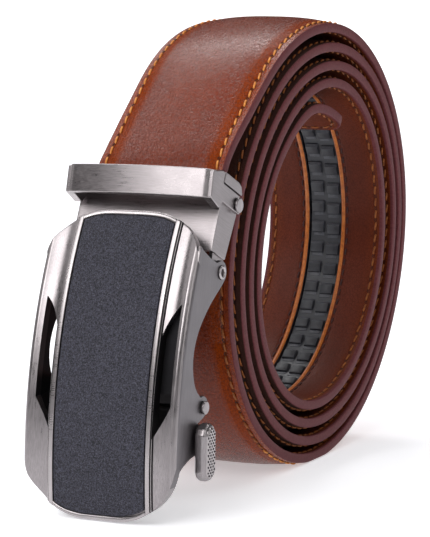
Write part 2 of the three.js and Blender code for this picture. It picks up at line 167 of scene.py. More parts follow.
def dome_at(u, x):
    """height of the outer face over the edge's, at x and length u"""
    w, c = float(half_width(u)), float(crown_at(u))
    c += OUTER_LIFT * float(ramp(u, 28, 50) * (1 - 0.75 * ramp(u, 52, 80)) * (1 - ramp(u, 255, 330)))
    f = max(0.0, min(1.0, (w - abs(x) - 1.0) / (w - 1.0)))
    return c * (1 - (1 - f) ** DOME_POW)


def twist_at(u, x):
    """how far the outer turn's far edge stands out more than its near edge"""
    t = float(-0.7 * ramp(u, 20, 25) * (1 - ramp(u, 28, 40)) + 1.0 * ramp(u, 36, 56) * (1 - 0.65 * ramp(u, 60, 85)) * (1 - ramp(u, 215, 290)))
    return t * (STRAP_W / 2 - x) / STRAP_W


def half_width(u):
    e = L_END - np.asarray(u, float)
    k = np.clip(TIP_R - e, 0, TIP_R)
    return STRAP_W / 2 - (TIP_R - np.sqrt(np.maximum(0, TIP_R ** 2 - k * k)))


SLOT_END = L_END - TRACK_FROM_TIP + 0.6
SLOT_START = SLOT_END - TRACK_LEN - 1.2
TRACK_START = SLOT_END - 0.6 - TRACK_LEN


def new_mesh(name, verts, faces, mats=(), mat_idx=None, smooth=True, uv=None, attrs=None):
    me = bpy.data.meshes.new(name)
    v = np.asarray(verts, float) * MM
    me.from_pydata(v.tolist(), [], [tuple(int(i) for i in f) for f in faces])
    for m in mats:
        me.materials.append(m)
    if mat_idx is not None:
        me.polygons.foreach_set("material_index", np.asarray(mat_idx, dtype=np.int32))
    me.polygons.foreach_set("use_smooth", np.full(len(me.polygons), smooth))
    if uv is not None:
        layer = me.uv_layers.new(name="UVMap")
        li = np.zeros(len(me.loops), dtype=np.int32)
        me.loops.foreach_get("vertex_index", li)
        layer.data.foreach_set("uv", np.asarray(uv, float)[li].ravel())
    for key, val in (attrs or {}).items():
        at = me.attributes.new(key, "FLOAT", "POINT")
        at.data.foreach_set("value", np.asarray(val, float))
    me.validate()
    me.update()
    ob = bpy.data.objects.new(name, me)
    bpy.context.scene.collection.objects.link(ob)
    return ob


def sharpen(ob, deg=38):
    """marks edges sharper than deg"""
    bm = bmesh.new()
    bm.from_mesh(ob.data)
    lim = math.radians(deg)
    for e in bm.edges:
        e.smooth = not (len(e.link_faces) == 2 and e.calc_face_angle(0) > lim)
    bm.to_mesh(ob.data)
    bm.free()


def weighted(ob):
    m = ob.modifiers.new("normals", "WEIGHTED_NORMAL")
    m.keep_sharp = True
    m.weight = 90


def ccw(pts):
    a = sum(p[0] * q[1] - q[0] * p[1] for p, q in zip(pts, pts[1:] + pts[:1]))
    return list(pts) if a > 0 else list(reversed(pts))


def inset(pts, d):
    """outline moved inwards by d, mitred"""
    p = np.array(pts, float)
    e = np.roll(p, -1, 0) - p
    e /= np.linalg.norm(e, axis=1)[:, None]
    n = np.stack([-e[:, 1], e[:, 0]], 1)
    n0 = np.roll(n, 1, 0)
    k = 1 + (n * n0).sum(1)
    k = np.maximum(k, 0.35)
    return p + (n + n0) / k[:, None] * d


def dedupe(pts, tol=0.02):
    out = []
    for p in pts:
        if not out or math.hypot(p[0] - out[-1][0], p[1] - out[-1][1]) > tol:
            out.append(tuple(p))
    if math.hypot(out[0][0] - out[-1][0], out[0][1] - out[-1][1]) <= tol:
        out.pop()
    return out


def corner_round(pts, r, ang=25, seg=4):
    """rounds the outline's own corners that turn by more than ang degrees"""
    pts = dedupe(pts)
    out = []
    n = len(pts)
    for i in range(n):
        a, b, c = np.array(pts[i - 1]), np.array(pts[i]), np.array(pts[(i + 1) % n])
        u, v = a - b, c - b
        lu, lv = np.linalg.norm(u), np.linalg.norm(v)
        u, v = u / lu, v / lv
        turn = 180 - math.degrees(math.acos(np.clip(u @ v, -1, 1)))
        if turn < ang:
            out.append(tuple(b)); continue
        half = math.radians(180 - turn) / 2
        d = min(r / math.tan(half) if half > 0.01 else r, lu * 0.45, lv * 0.45)
        p, q = b + u * d, b + v * d
        for k in range(seg + 1):
            t = k / seg
            out.append(tuple((1 - t) ** 2 * p + 2 * t * (1 - t) * b + t * t * q))
    return dedupe(out)


def rprism(pts, a0, a1, place, r=0.25, seg=3, name="p", caps=(True, True)):
    """outline drawn out from a0 to a1 with rounded rims. place(p, q, a) gives (x, y, z)."""
    pts = ccw(dedupe(pts))
    rings = []
    steps = [(r * (1 - math.sin(math.pi / 2 * k / seg)), r * (1 - math.cos(math.pi / 2 * k / seg))) for k in range(seg + 1)]
    lo = [(ins, a0 + dep) for ins, dep in steps] if caps[0] else [(0, a0)]
    hi = [(ins, a1 - dep) for ins, dep in reversed(steps)] if caps[1] else [(0, a1)]
    for ins, a in lo + hi:
        q = inset(pts, ins) if ins > 1e-6 else np.array(pts, float)
        rings.append([place(p[0], p[1], a) for p in q])
    n = len(pts)
    verts = [v for rg in rings for v in rg]
    faces = []
    for i in range(len(rings) - 1):
        for j in range(n):
            k = (j + 1) % n
            faces.append((i * n + j, i * n + k, (i + 1) * n + k, (i + 1) * n + j))
    faces.append(tuple(reversed(range(n))))
    faces.append(tuple(range((len(rings) - 1) * n, len(rings) * n)))
    ob = new_mesh(name, verts, faces)
    bm = bmesh.new(); bm.from_mesh(ob.data)
    bmesh.ops.recalc_face_normals(bm, faces=bm.faces)
    bm.to_mesh(ob.data); bm.free()
    return ob


PX = lambda p, q, a: (a, p, q)                # outline in (y, z), drawn along X
PY = lambda p, q, a: (p, a, q)                # outline in (x, z), drawn along Y


def span(pts, a, b, s, **k):
    return rprism(pts, a if s > 0 else -b, b if s > 0 else -a, PX, **k)


def rod(c, r, x0, x1, n=32, bevel=0.15, dome=0.0, name="rod"):
    """turned pin along X with rounded rims, as a stack of rings"""
    prof = [(x0, 0.0), (x0, r - bevel), (x0 + bevel * 0.3, r - bevel * 0.3), (x0 + bevel, r),
            (x1 - bevel, r), (x1 - bevel * 0.3, r - bevel * 0.3), (x1, r - bevel), (x1, 0.0)]
    return lathe(c, prof, n, name)


def lathe(c, prof, n=32, name="lathe"):
    """profile of (x, radius) turned about the X axis through c=(y, z); starts and ends on the axis"""
    verts, faces = [], []
    idx = []
    for x, r in prof:
        if r <= 1e-6:
            idx.append([len(verts)]); verts.append((x, c[0], c[1]))
        else:
            idx.append(list(range(len(verts), len(verts) + n)))
            verts += [(x, c[0] + r * math.cos(2 * math.pi * k / n), c[1] + r * math.sin(2 * math.pi * k / n)) for k in range(n)]
    for a, b in zip(idx, idx[1:]):
        for k in range(n):
            k2 = (k + 1) % n
            if len(a) == 1 and len(b) == 1:
                continue
            if len(a) == 1:
                faces.append((a[0], b[k2], b[k]))
            elif len(b) == 1:
                faces.append((a[k], a[k2], b[0]))
            else:
                faces.append((a[k], a[k2], b[k2], b[k]))
    ob = new_mesh(name, verts, faces)
    bm = bmesh.new(); bm.from_mesh(ob.data)
    bmesh.ops.recalc_face_normals(bm, faces=bm.faces)
    bm.to_mesh(ob.data); bm.free()
    return ob


def boolean(a, others, op="UNION"):
    """a joined with or cut by the others, which are used up"""
    for o in others:
        m = a.modifiers.new("b", "BOOLEAN")
        m.operation, m.solver, m.object = op, "MANIFOLD", o
        bpy.context.view_layer.update()
        dg = bpy.context.evaluated_depsgraph_get()
        me = bpy.data.meshes.new_from_object(a.evaluated_get(dg))
        a.modifiers.clear()
        old = a.data
        a.data = me
        bpy.data.meshes.remove(old)
        od = o.data
        bpy.data.objects.remove(o)
        bpy.data.meshes.remove(od)
    return a


def finish_metal(ob, name, mats, body, node, pick=None, deg=36):
    ob.name = name
    ob.data.name = name
    ob.data.materials.clear()
    for m in mats:
        ob.data.materials.append(m)
    bm = bmesh.new(); bm.from_mesh(ob.data)
    bmesh.ops.remove_doubles(bm, verts=bm.verts, dist=2e-6)
    bmesh.ops.dissolve_degenerate(bm, edges=bm.edges, dist=1e-6)
    lim = math.radians(deg)
    for f in bm.faces:
        f.smooth = True
        f.material_index = pick(f) if pick else 0
    for e in bm.edges:
        e.smooth = not (len(e.link_faces) == 2 and e.calc_face_angle(0) > lim)
    bm.to_mesh(ob.data); bm.free()
    weighted(ob)
    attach(ob, body)
    if node:
        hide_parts(*([node] if isinstance(node, str) else node))
    return ob


# ------------------------------------------------------------------ material helpers
class Nodes:
    def __init__(self, name):
        self.m = bpy.data.materials.new(name)
        self.m.use_nodes = True
        self.t = self.m.node_tree
        self.t.nodes.clear()
        self.out = self.t.nodes.new("ShaderNodeOutputMaterial")
        self.b = self.t.nodes.new("ShaderNodeBsdfPrincipled")
        self.t.links.new(self.b.outputs[0], self.out.inputs[0])
        tc = self.t.nodes.new("ShaderNodeTexCoord")
        self.mm = self.vmath("SCALE", tc.outputs["Object"], scale=1000.0)
        self.uv = tc.outputs["UV"]

    def node(self, kind, **props):
        n = self.t.nodes.new(kind)
        for k, v in props.items():
            setattr(n, k, v)
        return n

    def put(self, sock, v):
        if isinstance(v, bpy.types.NodeSocket):
            self.t.links.new(v, sock)
        elif v is not None:
            sock.default_value = v

    def vmath(self, op, a, b=None, scale=None):
        n = self.node("ShaderNodeVectorMath", operation=op)
        self.put(n.inputs[0], a)
        if b is not None:
            self.put(n.inputs[1], b)
        if scale is not None:
            n.inputs["Scale"].default_value = scale
        return n.outputs["Value"] if op in ("LENGTH", "DOT_PRODUCT", "DISTANCE") else n.outputs["Vector"]

    def math(self, op, a, b=None, c=None, clamp=False):
        n = self.node("ShaderNodeMath", operation=op, use_clamp=clamp)
        for s, v in zip(n.inputs, (a, b, c)):
            if v is not None:
                self.put(s, v)
        return n.outputs[0]

    def stretch(self, v, s):
        return self.vmath("MULTIPLY", v, s)

    def noise(self, v, scale, detail=3.0, rough=0.5, dist=0.0):
        n = self.node("ShaderNodeTexNoise")
        self.put(n.inputs["Vector"], v)
        n.inputs["Scale"].default_value = scale
        n.inputs["Detail"].default_value = detail
        n.inputs["Roughness"].default_value = rough
        n.inputs["Distortion"].default_value = dist
        return n.outputs["Fac"]

    def voronoi(self, v, scale, feature="F1", rand=1.0):
        n = self.node("ShaderNodeTexVoronoi", feature=feature)
        self.put(n.inputs["Vector"], v)
        n.inputs["Scale"].default_value = scale
        n.inputs["Randomness"].default_value = rand
        return n.outputs["Distance"]

    def rangemap(self, v, a, b, c=0.0, d=1.0, smooth=True):
        n = self.node("ShaderNodeMapRange", interpolation_type="SMOOTHSTEP" if smooth else "LINEAR")
        self.put(n.inputs["Value"], v)
        for k, x in zip(("From Min", "From Max", "To Min", "To Max"), (a, b, c, d)):
            n.inputs[k].default_value = x
        return n.outputs["Result"]

    def mix(self, f, a, b, mode="MIX"):
        n = self.node("ShaderNodeMix", data_type="RGBA", blend_type=mode)
        self.put(n.inputs["Factor"], f)
        self.put(n.inputs[6], a if isinstance(a, bpy.types.NodeSocket) else (*a, 1))
        self.put(n.inputs[7], b if isinstance(b, bpy.types.NodeSocket) else (*b, 1))
        return n.outputs[2]

    def attr(self, name):
        return self.node("ShaderNodeAttribute", attribute_name=name).outputs["Fac"]

    def bump(self, h, strength, dist_mm, normal=None):
        n = self.node("ShaderNodeBump")
        n.inputs["Strength"].default_value = strength
        n.inputs["Distance"].default_value = dist_mm * MM
        self.put(n.inputs["Height"], h)
        if normal is not None:
            self.put(n.inputs["Normal"], normal)
        return n.outputs["Normal"]

    def set(self, **k):
        names = dict(color="Base Color", rough="Roughness", metal="Metallic", normal="Normal", spec="Specular IOR Level",
                     coat="Coat Weight", coatr="Coat Roughness", sheen="Sheen Weight", sheenr="Sheen Roughness", ani="Anisotropic")
        for key, v in k.items():
            s = self.b.inputs[names[key]]
            if key == "color" and not isinstance(v, bpy.types.NodeSocket):
                v = (*v, 1)
            self.put(s, v)
        return self.m


# ------------------------------------------------------------------ materials
def leather(name, base, warm, dark, inner=False, gloss=0.31):
    g = Nodes(name)
    across = g.attr("across")                       # 0 in the middle of the strap, 1 at its edge
    cloud = g.noise(g.stretch(g.mm, (0.07, 0.035, 0.035)), 1.0, 4, 0.55)
    fine = g.noise(g.mm, 0.55, 5, 0.65)
    wob = g.vmath("ADD", g.mm, g.vmath("SCALE", g.node("ShaderNodeTexNoise").outputs["Color"], scale=1.2))
    for nd in g.t.nodes:
        if nd.bl_idname == "ShaderNodeTexNoise" and not nd.inputs["Vector"].is_linked:
            g.put(nd.inputs["Vector"], g.mm)
            nd.inputs["Scale"].default_value = 0.9
    grain = g.voronoi(wob, 1.6)
    c = g.mix(g.rangemap(cloud, 0.3, 0.72, 0.0, 0.6), dark, base)
    edge = g.math("MULTIPLY", g.rangemap(across, 0.62 if not inner else 0.66, 0.76 if not inner else 0.95), g.rangemap(cloud, 0.2, 0.6, 0.75, 1.0))
    c = g.mix(g.math("MULTIPLY", edge, 0.95 if not inner else 0.6), c, warm)
    if not inner:                                   # the margin outside the stitches is plainer
        c = g.mix(g.rangemap(across, 0.885, 0.915, 0.0, 0.75), c, base)
    c = g.mix(g.rangemap(fine, 0.35, 0.75, 0.0, 0.35), c, dark)
    crease = g.rangemap(g.voronoi(g.stretch(wob, (1.0, 0.8, 0.8)), 1.35, "DISTANCE_TO_EDGE"), 0.0, 0.14, 1.0, 0.0)
    c = g.mix(g.math("MULTIPLY", crease, 0.50 if inner else 0.72), c, (dark[0] * 0.5, dark[1] * 0.45, dark[2] * 0.45))
    # the inner turns' outer face is mixed towards near-black: painted shade for the gaps between the turns
    c = g.mix(g.math("MULTIPLY", g.attr("turn"), 0.0 if inner else 0.94), c, (0.022, 0.006, 0.003))
    h = g.math("ADD", g.math("MULTIPLY", grain, -0.8), g.math("MULTIPLY", g.noise(g.mm, 2.4, 4, 0.6), 0.7))
    h = g.math("SUBTRACT", h, g.math("MULTIPLY", crease, 0.9))
    n = g.bump(h, 0.47 if not inner else 0.30, 0.09)
    r = g.rangemap(g.noise(g.mm, 1.2, 4, 0.6), 0.3, 0.7, 0.22 if not inner else 0.34, 0.31 if not inner else 0.44)
    r = g.math("ADD", r, g.math("MULTIPLY", g.attr("turn"), 0.0 if inner else 0.45))
    return g.set(color=c, rough=r, normal=n, spec=gloss if not inner else 0.12)


def paint():
    g = Nodes("edge_paint")
    streak = g.noise(g.stretch(g.mm, (0.5, 1.6, 1.6)), 1.0, 4, 0.6)
    fine = g.noise(g.mm, 5.0, 3, 0.6)
    c = g.mix(g.rangemap(streak, 0.3, 0.7), (0.092, 0.022, 0.025), (0.125, 0.034, 0.038))
    c = g.mix(g.rangemap(fine, 0.55, 0.75, 0.0, 0.25), c, (0.17, 0.055, 0.058))
    n = g.bump(g.math("ADD", streak, g.math("MULTIPLY", fine, 0.4)), 0.25, 0.06)
    return g.set(color=c, rough=g.rangemap(fine, 0.3, 0.7, 0.5, 0.62), normal=n, spec=0.12)


def thread(name, a, b):
    g = Nodes(name)
    w = g.node("ShaderNodeTexWave", wave_type="BANDS", bands_direction="DIAGONAL")
    g.put(w.inputs["Vector"], g.mm)
    w.inputs["Scale"].default_value = 1.3
    w.inputs["Distortion"].default_value = 1.5
    f = g.noise(g.mm, 1.3, 3, 0.6)
    c = g.mix(g.rangemap(f, 0.3, 0.7), a, b)
    n = g.bump(w.outputs["Fac"], 0.6, 0.08)
    return g.set(color=c, rough=0.62, normal=n, spec=0.3)


def lip():
    g = Nodes("slot_lip")
    f = g.noise(g.mm, 0.9, 4, 0.65)
    c = g.mix(g.rangemap(f, 0.3, 0.7), (0.34, 0.078, 0.006), (0.54, 0.15, 0.014))
    return g.set(color=c, rough=0.42, normal=g.bump(g.noise(g.mm, 4, 3, 0.6), 0.3, 0.05), spec=0.5)


def plastic(name="track_black", a=(0.008, 0.0085, 0.012), b=(0.022, 0.023, 0.030)):
    g = Nodes(name)
    f = g.noise(g.mm, 1.2, 4, 0.6)
    c = g.mix(g.rangemap(f, 0.3, 0.75), a, b)
    edge_wear_and_highlight = g.node("ShaderNodeNewGeometry").outputs["Pointiness"]
    # convex edges are made lighter: partly edge wear, partly painted highlight
    c = g.mix(g.rangemap(edge_wear_and_highlight, 0.52, 0.58, 0.0, 0.45), c, (0.07, 0.073, 0.085))
    return g.set(color=c, rough=g.rangemap(f, 0.3, 0.7, 0.38, 0.55), normal=g.bump(g.noise(g.mm, 7, 2, 0.5), 0.25, 0.03), spec=0.5)


def brushed(name, axis, base=(0.31, 0.281, 0.287), rough=(0.24, 0.36), strength=0.24, low=0.66):
    """brushed metal whose lines run along the direction axis"""
    g = Nodes(name)
    d = np.array(axis, float); d /= np.linalg.norm(d)
    # split the position into along and across the lines, and squeeze the first
    s = g.vmath("DOT_PRODUCT", g.mm, tuple(d))
    par = g.node("ShaderNodeVectorMath", operation="SCALE")
    par.inputs[0].default_value = tuple(d)
    g.put(par.inputs["Scale"], s)
    perp = g.vmath("SUBTRACT", g.mm, par.outputs[0])
    v = g.vmath("ADD", perp, g.vmath("SCALE", par.outputs[0], scale=0.035))
    lines = g.noise(v, 5.5, 4, 0.65)
    wide = g.noise(v, 1.3, 3, 0.6)
    blot = g.noise(g.mm, 0.16, 3, 0.5)
    dark = tuple(x * low for x in base)
    c = g.mix(g.rangemap(lines, 0.25, 0.75), dark, base)
    c = g.mix(g.rangemap(blot, 0.3, 0.7, 0.0, 0.25), c, tuple(x * 0.8 for x in base))
    r = g.math("ADD", g.rangemap(lines, 0.25, 0.75, rough[0], rough[1]), g.rangemap(blot, 0.3, 0.7, 0.0, 0.05))
    h = g.math("ADD", lines, g.math("MULTIPLY", wide, 0.3))
    n = g.bump(h, strength, 0.03)
    return g.set(color=c, rough=r, metal=1.0, normal=n)


def inlay_mat():
    g = Nodes("inlay_grain")
    sp = g.voronoi(g.mm, 3.0)
    cell = g.node("ShaderNodeTexVoronoi", feature="F1")
    g.put(cell.inputs["Vector"], g.mm)
    cell.inputs["Scale"].default_value = 4.6
    v = g.node("ShaderNodeSeparateColor")
    g.put(v.inputs[0], cell.outputs["Color"])
    spark = g.rangemap(v.outputs[0], 0.80, 0.99)
    f = g.noise(g.mm, 2.6, 3, 0.75)
    c = g.mix(g.rangemap(f, 0.40, 0.60), (0.005, 0.005, 0.008), (0.046, 0.045, 0.066))
    c = g.mix(g.math("MULTIPLY", spark, 0.7), c, (0.085, 0.080, 0.105))
    h = g.math("ADD", g.math("MULTIPLY", sp, 1.0), g.math("MULTIPLY", f, 1.2))
    n = g.bump(h, 0.95, 0.14)
    return g.set(color=c, rough=g.rangemap(v.outputs[1], 0.2, 0.9, 0.36, 0.55), metal=0.3, normal=n, spec=0.4)


OUT_COLORS = (0.250, 0.037, 0.006), (0.245, 0.036, 0.0006), (0.150, 0.019, 0.003)
M_OUT = leather("leather_outer", *OUT_COLORS)
# the burnished bands along both stitch lines are duller, in two steps
M_BAND_A = leather("leather_band_inner", *OUT_COLORS, gloss=0.19)
M_BAND_B = leather("leather_band", *OUT_COLORS, gloss=0.07)
M_IN = leather("leather_inner", (0.150, 0.031, 0.014), (0.160, 0.030, 0.005), (0.092, 0.017, 0.007), inner=True)
M_PAINT = paint()
M_LIP = lip()
M_THREAD = thread("thread_tan", (0.56, 0.19, 0.035), (0.82, 0.35, 0.085))
# darker copy of the tan thread, for the inner face and as painted shade on the inner turns' outer stitches
M_THREAD_INNER_SHADED = thread("thread_inner_and_shade", (0.19, 0.052, 0.010), (0.32, 0.10, 0.022))
M_THREAD_D = thread("thread_dark", (0.030, 0.014, 0.014), (0.085, 0.030, 0.026))
M_BLACK = plastic()
# lighter plastic for the teeth's rim strips: a painted highlight along the rims, partly wear
M_TOOTH = plastic("track_rim_wear_and_highlight", (0.045, 0.047, 0.056), (0.10, 0.103, 0.12))
# near-black for the needle holes: painted shade inside them
M_HOLE = thread("needle_hole", (0.006, 0.003, 0.002), (0.016, 0.008, 0.006))
up_clamp = (0, math.sin(LEAN), math.cos(LEAN))
M_BX = brushed("metal_brushed_across", (1, 0, 0))
M_BZ = brushed("metal_brushed_up", (0, 0.17, 1), base=(0.37, 0.338, 0.345), strength=0.16)
M_BC = brushed("metal_brushed_cheek", (0, 0.9, -0.42), rough=(0.30, 0.42))
M_BEV = brushed("metal_bevel", (1, 0, 0), base=(0.44, 0.405, 0.41), rough=(0.24, 0.30), strength=0.02, low=0.92)
# near-black metal for faces inside the buckle, the lever's hidden part and the knurl pits: painted shade
M_SHADE_DARK = brushed("metal_inside_shade", (1, 0, 0), base=(0.06, 0.055, 0.058), rough=(0.35, 0.5))
M_INLAY = inlay_mat()

# ------------------------------------------------------------------ camera
CAM = dict(f=2427.0, az=26.75, el=7.37, roll=-0.45, dist=626.1, ty=-26.4, tz=53.1)


def make_camera():
    az, el, ro = (math.radians(CAM[k]) for k in ("az", "el", "roll"))
    back = Vector((math.sin(az) * math.cos(el), -math.cos(az) * math.cos(el), math.sin(el)))
    right = (-back).cross(Vector((0, 0, 1))).normalized()
    up = right.cross(-back)
    r = right * math.cos(ro) + up * math.sin(ro)
    u = -right * math.sin(ro) + up * math.cos(ro)
    cam = bpy.data.cameras.new("camera")
    cam.lens = CAM["f"] * 36.0 / 537.0
    cam.sensor_width = 36.0
    cam.clip_start, cam.clip_end = 0.01, 10
    ob = bpy.data.objects.new("camera", cam)
    bpy.context.scene.collection.objects.link(ob)
    loc = (Vector((0, CAM["ty"], CAM["tz"])) + back * CAM["dist"]) * MM
    m = Matrix((r, u, back)).transposed().to_4x4()
    m.translation = loc
    ob.matrix_world = m
    bpy.context.scene.camera = ob


make_camera()

# ------------------------------------------------------------------ strap
step = 1.6


def strap_ring(u):
    """section of the strap at length u: (x, offset, zone) going round, zones 0 outer, 1 paint, 2 inner, 3 lip, 4 recess"""
    w, h = float(half_width(u)), STRAP_T / 2
    rc = 0.30
    gi = 1 - float(ramp(u, L_END - 3.4, L_END - 2.6))         # stitch groove stops near the tip
    slot = float(ramp(u, SLOT_START - 0.05, SLOT_START + 0.05) * (1 - ramp(u, SLOT_END - 0.05, SLOT_END + 0.05)))
    lipf = float(ramp(u, SLOT_START - 2.2, SLOT_START - 1.2) * (1 - ramp(u, SLOT_END + 1.2, SLOT_END + 2.2)))
    end = max(0.0, 0.55 - (L_END - u)) / 0.55                  # last half millimetre rounds off
    drop = 0.45 * (1 - math.sqrt(max(0.0, 1 - end * end)))
    bulge = 0.05
    outer = []
    es = [0.62, 1.0, 1.35, 1.62, 1.82, 2.0, 2.18, 2.42, 2.8, 3.3, 3.9, 4.6, 5.5, 6.6, 8.0, 9.8, 12.4, 15.0]
    gro = {1.62: 0.05, 1.82: 0.15, 2.0: 0.20, 2.18: 0.13, 2.42: 0.03}
    for e in es:
        outer.append((w - e, h + dome_at(u, w - e) - gro.get(e, 0) * gi - drop, 0))
    corner = [(w - rc + rc * math.cos(math.radians(a)), h - rc + rc * math.sin(math.radians(a)) - drop * (a / 90), 1) for a in (0, 30, 60, 90)]
    ring = list(corner) + outer + [(0.0, h + dome_at(u, 0) - drop, 0)] + [(-x, o, z) for x, o, z in reversed(outer)]
    ring += [(-x, o, z) for x, o, z in reversed(corner)]
    ring += [(-(w + bulge), 0.0, 1)]
    low = [(w - rc + rc * math.cos(math.radians(a)), -h + rc - rc * math.sin(math.radians(a)) + drop * (a / 90), 1) for a in (0, 30, 60, 90)]
    ring += [(-x, o, z) for x, o, z in low]
    ie = [0.8, 1.3, 1.62, 1.82, 2.0, 2.18, 2.42, 3.0, 4.6]
    gin = {1.62: 0.05, 1.82: 0.13, 2.0: 0.17, 2.18: 0.12, 2.42: 0.03}
    inner = [(w - e, -h + gin.get(e, 0) * gi + drop, 2) for e in ie]
    s = [(9.6, 0, 2), (7.6, 0, 2), (7.15, 0.05 * lipf, 2), (6.8, 0.20 * lipf, 2), (6.4, 0.12 * lipf, 2), (6.12, -0.02 * lipf, 3),
         (5.85, -0.20 * lipf, 3), (5.4, -0.25 * lipf, 3), (5.12, -0.12 * lipf, 3), (4.98, 0.08 * slot, 4), (4.92, SLOT_D * slot, 4), (2.5, SLOT_D * slot, 4)]
    s = [(x, -h + o + drop, z) for x, o, z in s]
    ring += [(-x, o, z) for x, o, z in inner] + [(-x, o, z) for x, o, z in s]
    ring += [(0.0, -h + SLOT_D * slot + drop, 4)]
    ring += [(x, o, z) for x, o, z in reversed(s)] + [(x, o, z) for x, o, z in reversed(inner)]
    ring += [(x, o, z) for x, o, z in reversed(low)]
    ring += [(w + bulge, 0.0, 1)]
    return [(x, o + twist_at(u, x), z) for x, o, z in ring]


us = list(np.arange(0.0, L_END - TIP_R, step)) + list(np.linspace(L_END - TIP_R, L_END - 0.8, 12)) + [L_END - d for d in (0.55, 0.4, 0.25, 0.12, 0.03)]
us += [SLOT_START - 2.2, SLOT_START - 1.2, SLOT_START - 0.06, SLOT_START + 0.06, SLOT_END - 0.06, SLOT_END + 0.06, SLOT_END + 1.2, SLOT_END + 2.2]
us = sorted(us)
us = np.array([u for i, u in enumerate(us) if i == 0 or u - us[i - 1] > 0.05])


def build_strap():
    py, pz, ny, nz = along(us)
    verts, uv, across, zones = [], [], [], None
    n = None
    for i, u in enumerate(us):
        ring = strap_ring(u)
        n = len(ring)
        zones = [r[2] for r in ring]
        acc = 0.0
        for j, (x, o, z) in enumerate(ring):
            if j:
                acc += math.hypot(x - ring[j - 1][0], o - ring[j - 1][1])
            verts.append((x, py[i] + ny[i] * o, max(0.0, pz[i] + nz[i] * o)))
            uv.append((u / 100.0, acc / 100.0))
            across.append(abs(x) / (STRAP_W / 2))
    faces, mats = [], []
    zmap = [0, 1, 2, 3, 4]
    for i in range(len(us) - 1):
        in_slot = SLOT_START - 1.7 < us[i] and us[i + 1] < SLOT_END + 1.7
        in_rec = SLOT_START - 0.07 < us[i] and us[i + 1] < SLOT_END + 0.07
        for j in range(n):
            k = (j + 1) % n
            a, b = i * n + j, i * n + k
            faces.append((a, b, b + n, a + n))
            z = max(zones[j], zones[k]) if {zones[j], zones[k]} != {1, 2} else 1
            if {zones[j], zones[k]} == {0, 1}:
                z = 0
            if zones[j] in (2, 3, 4) and zones[k] in (2, 3, 4):
                z = 2
                if in_slot and min(zones[j], zones[k]) >= 3:
                    z = 3
                if in_rec and zones[j] == 4 and zones[k] == 4:
                    z = 4
                elif in_slot and not in_rec and zones[j] == 4 and zones[k] == 4:
                    z = 3
            wide = (across[a] + across[b]) / 2
            if z == 0 and 0.66 < wide < 0.885 and us[i] < 335:
                z = 5 if wide < 0.72 else 6
            mats.append(z)
    faces.append(tuple(range(n))); mats.append(1)
    faces.append(tuple(reversed(range((len(us) - 1) * n, len(us) * n)))); mats.append(1)
    # turn is 0 on the outer turn and 1 on the inner turns; it drives their painted shade and their rougher leather
    turn = np.repeat(ramp(us, 335, 385), n)
    ob = new_mesh("strap_leather", verts, faces, [M_OUT, M_PAINT, M_IN, M_LIP, M_BLACK, M_BAND_A, M_BAND_B], mats, uv=uv, attrs={"across": across, "turn": turn})
    bm = bmesh.new(); bm.from_mesh(ob.data)
    bmesh.ops.recalc_face_normals(bm, faces=bm.faces)
    bm.to_mesh(ob.data); bm.free()
    sharpen(ob, 42)
    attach(ob, "rolled_strap"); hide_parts("strap")
    return ob


strap = build_strap()


# ------------------------------------------------------------------ stitches
def surface_offset(x, u, side):
    """height of the strap's face over its middle line, at x and length u"""
    h = STRAP_T / 2
    return (-h if side < 0 else h + dome_at(u, x)) + twist_at(u, x)


def stitch_path(points, pitch):
    """evenly spaced (x, u, direction) along a polyline of (x, u)"""
    p = np.array(points, float)
    seg = np.hypot(*np.diff(p, axis=0).T)
    s = np.concatenate([[0], np.cumsum(seg)])
    n = int(s[-1] // pitch)
    out = []
    for k in range(n):
        m = (k + 0.5) * s[-1] / n
        a, b = m - 0.3, m + 0.3
        q = [np.array([np.interp(v, s, p[:, 0]), np.interp(v, s, p[:, 1])]) for v in (a, m, b)]
        d = q[2] - q[0]
        out.append((q[1][0], q[1][1], d / (np.linalg.norm(d) + 1e-9)))
    return out


def build_stitches(name, rows, side, mat, length=2.75, rad=0.33, proud=0.12, slant=8.0, sink=0.0):
    K, R = 7, 6
    verts, faces = [], []
    cs, sn = math.cos(math.radians(slant)), math.sin(math.radians(slant))
    cent, dirs = [], []
    for x, u, d in rows:
        cent.append((x, u)); dirs.append((d[0] * cs - d[1] * sn, d[0] * sn + d[1] * cs))
    cent, dirs = np.array(cent), np.array(dirs)
    for k in range(K):
        t = (k / (K - 1) - 0.5)
        prof = math.sqrt(max(0.0, 1 - (2 * t) ** 4)) * 0.82 + 0.10
        lift = proud - 0.34 * (abs(2 * t) ** 3)
        xs = cent[:, 0] + dirs[:, 0] * t * length
        uu = cent[:, 1] + dirs[:, 1] * t * length
        py, pz, ny, nz = along(uu)
        base = np.array([surface_offset(a, b, side) for a, b in zip(xs, uu)])
        for r in range(R):
            a = 2 * math.pi * r / R
            dx = math.cos(a) * rad * prof
            dh = math.sin(a) * rad * prof * 0.85 + lift + sink
            xx = xs + dx * dirs[:, 1]
            uo = uu - dx * dirs[:, 0]
            py, pz, ny, nz = along(uo)
            o = base + side * dh
            verts.append(np.stack([xx, py + ny * o, np.maximum(0.02, pz + nz * o)], 1))
    V = np.stack(verts, 1)                    # stitch, K*R, 3
    n = len(cent)
    V = V.reshape(n * K * R, 3)
    for i in range(n):
        b = i * K * R
        for k in range(K - 1):
            for r in range(R):
                r2 = (r + 1) % R
                faces.append((b + k * R + r, b + k * R + r2, b + (k + 1) * R + r2, b + (k + 1) * R + r))
        faces.append(tuple(b + r for r in reversed(range(R))))
        faces.append(tuple(b + (K - 1) * R + r for r in range(R)))
    ob = new_mesh(name, V, faces, [mat])
    bm = bmesh.new(); bm.from_mesh(ob.data)
    bmesh.ops.recalc_face_normals(bm, faces=bm.faces)
    bm.to_mesh(ob.data); bm.free()
    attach(ob, "rolled_strap")
    return ob


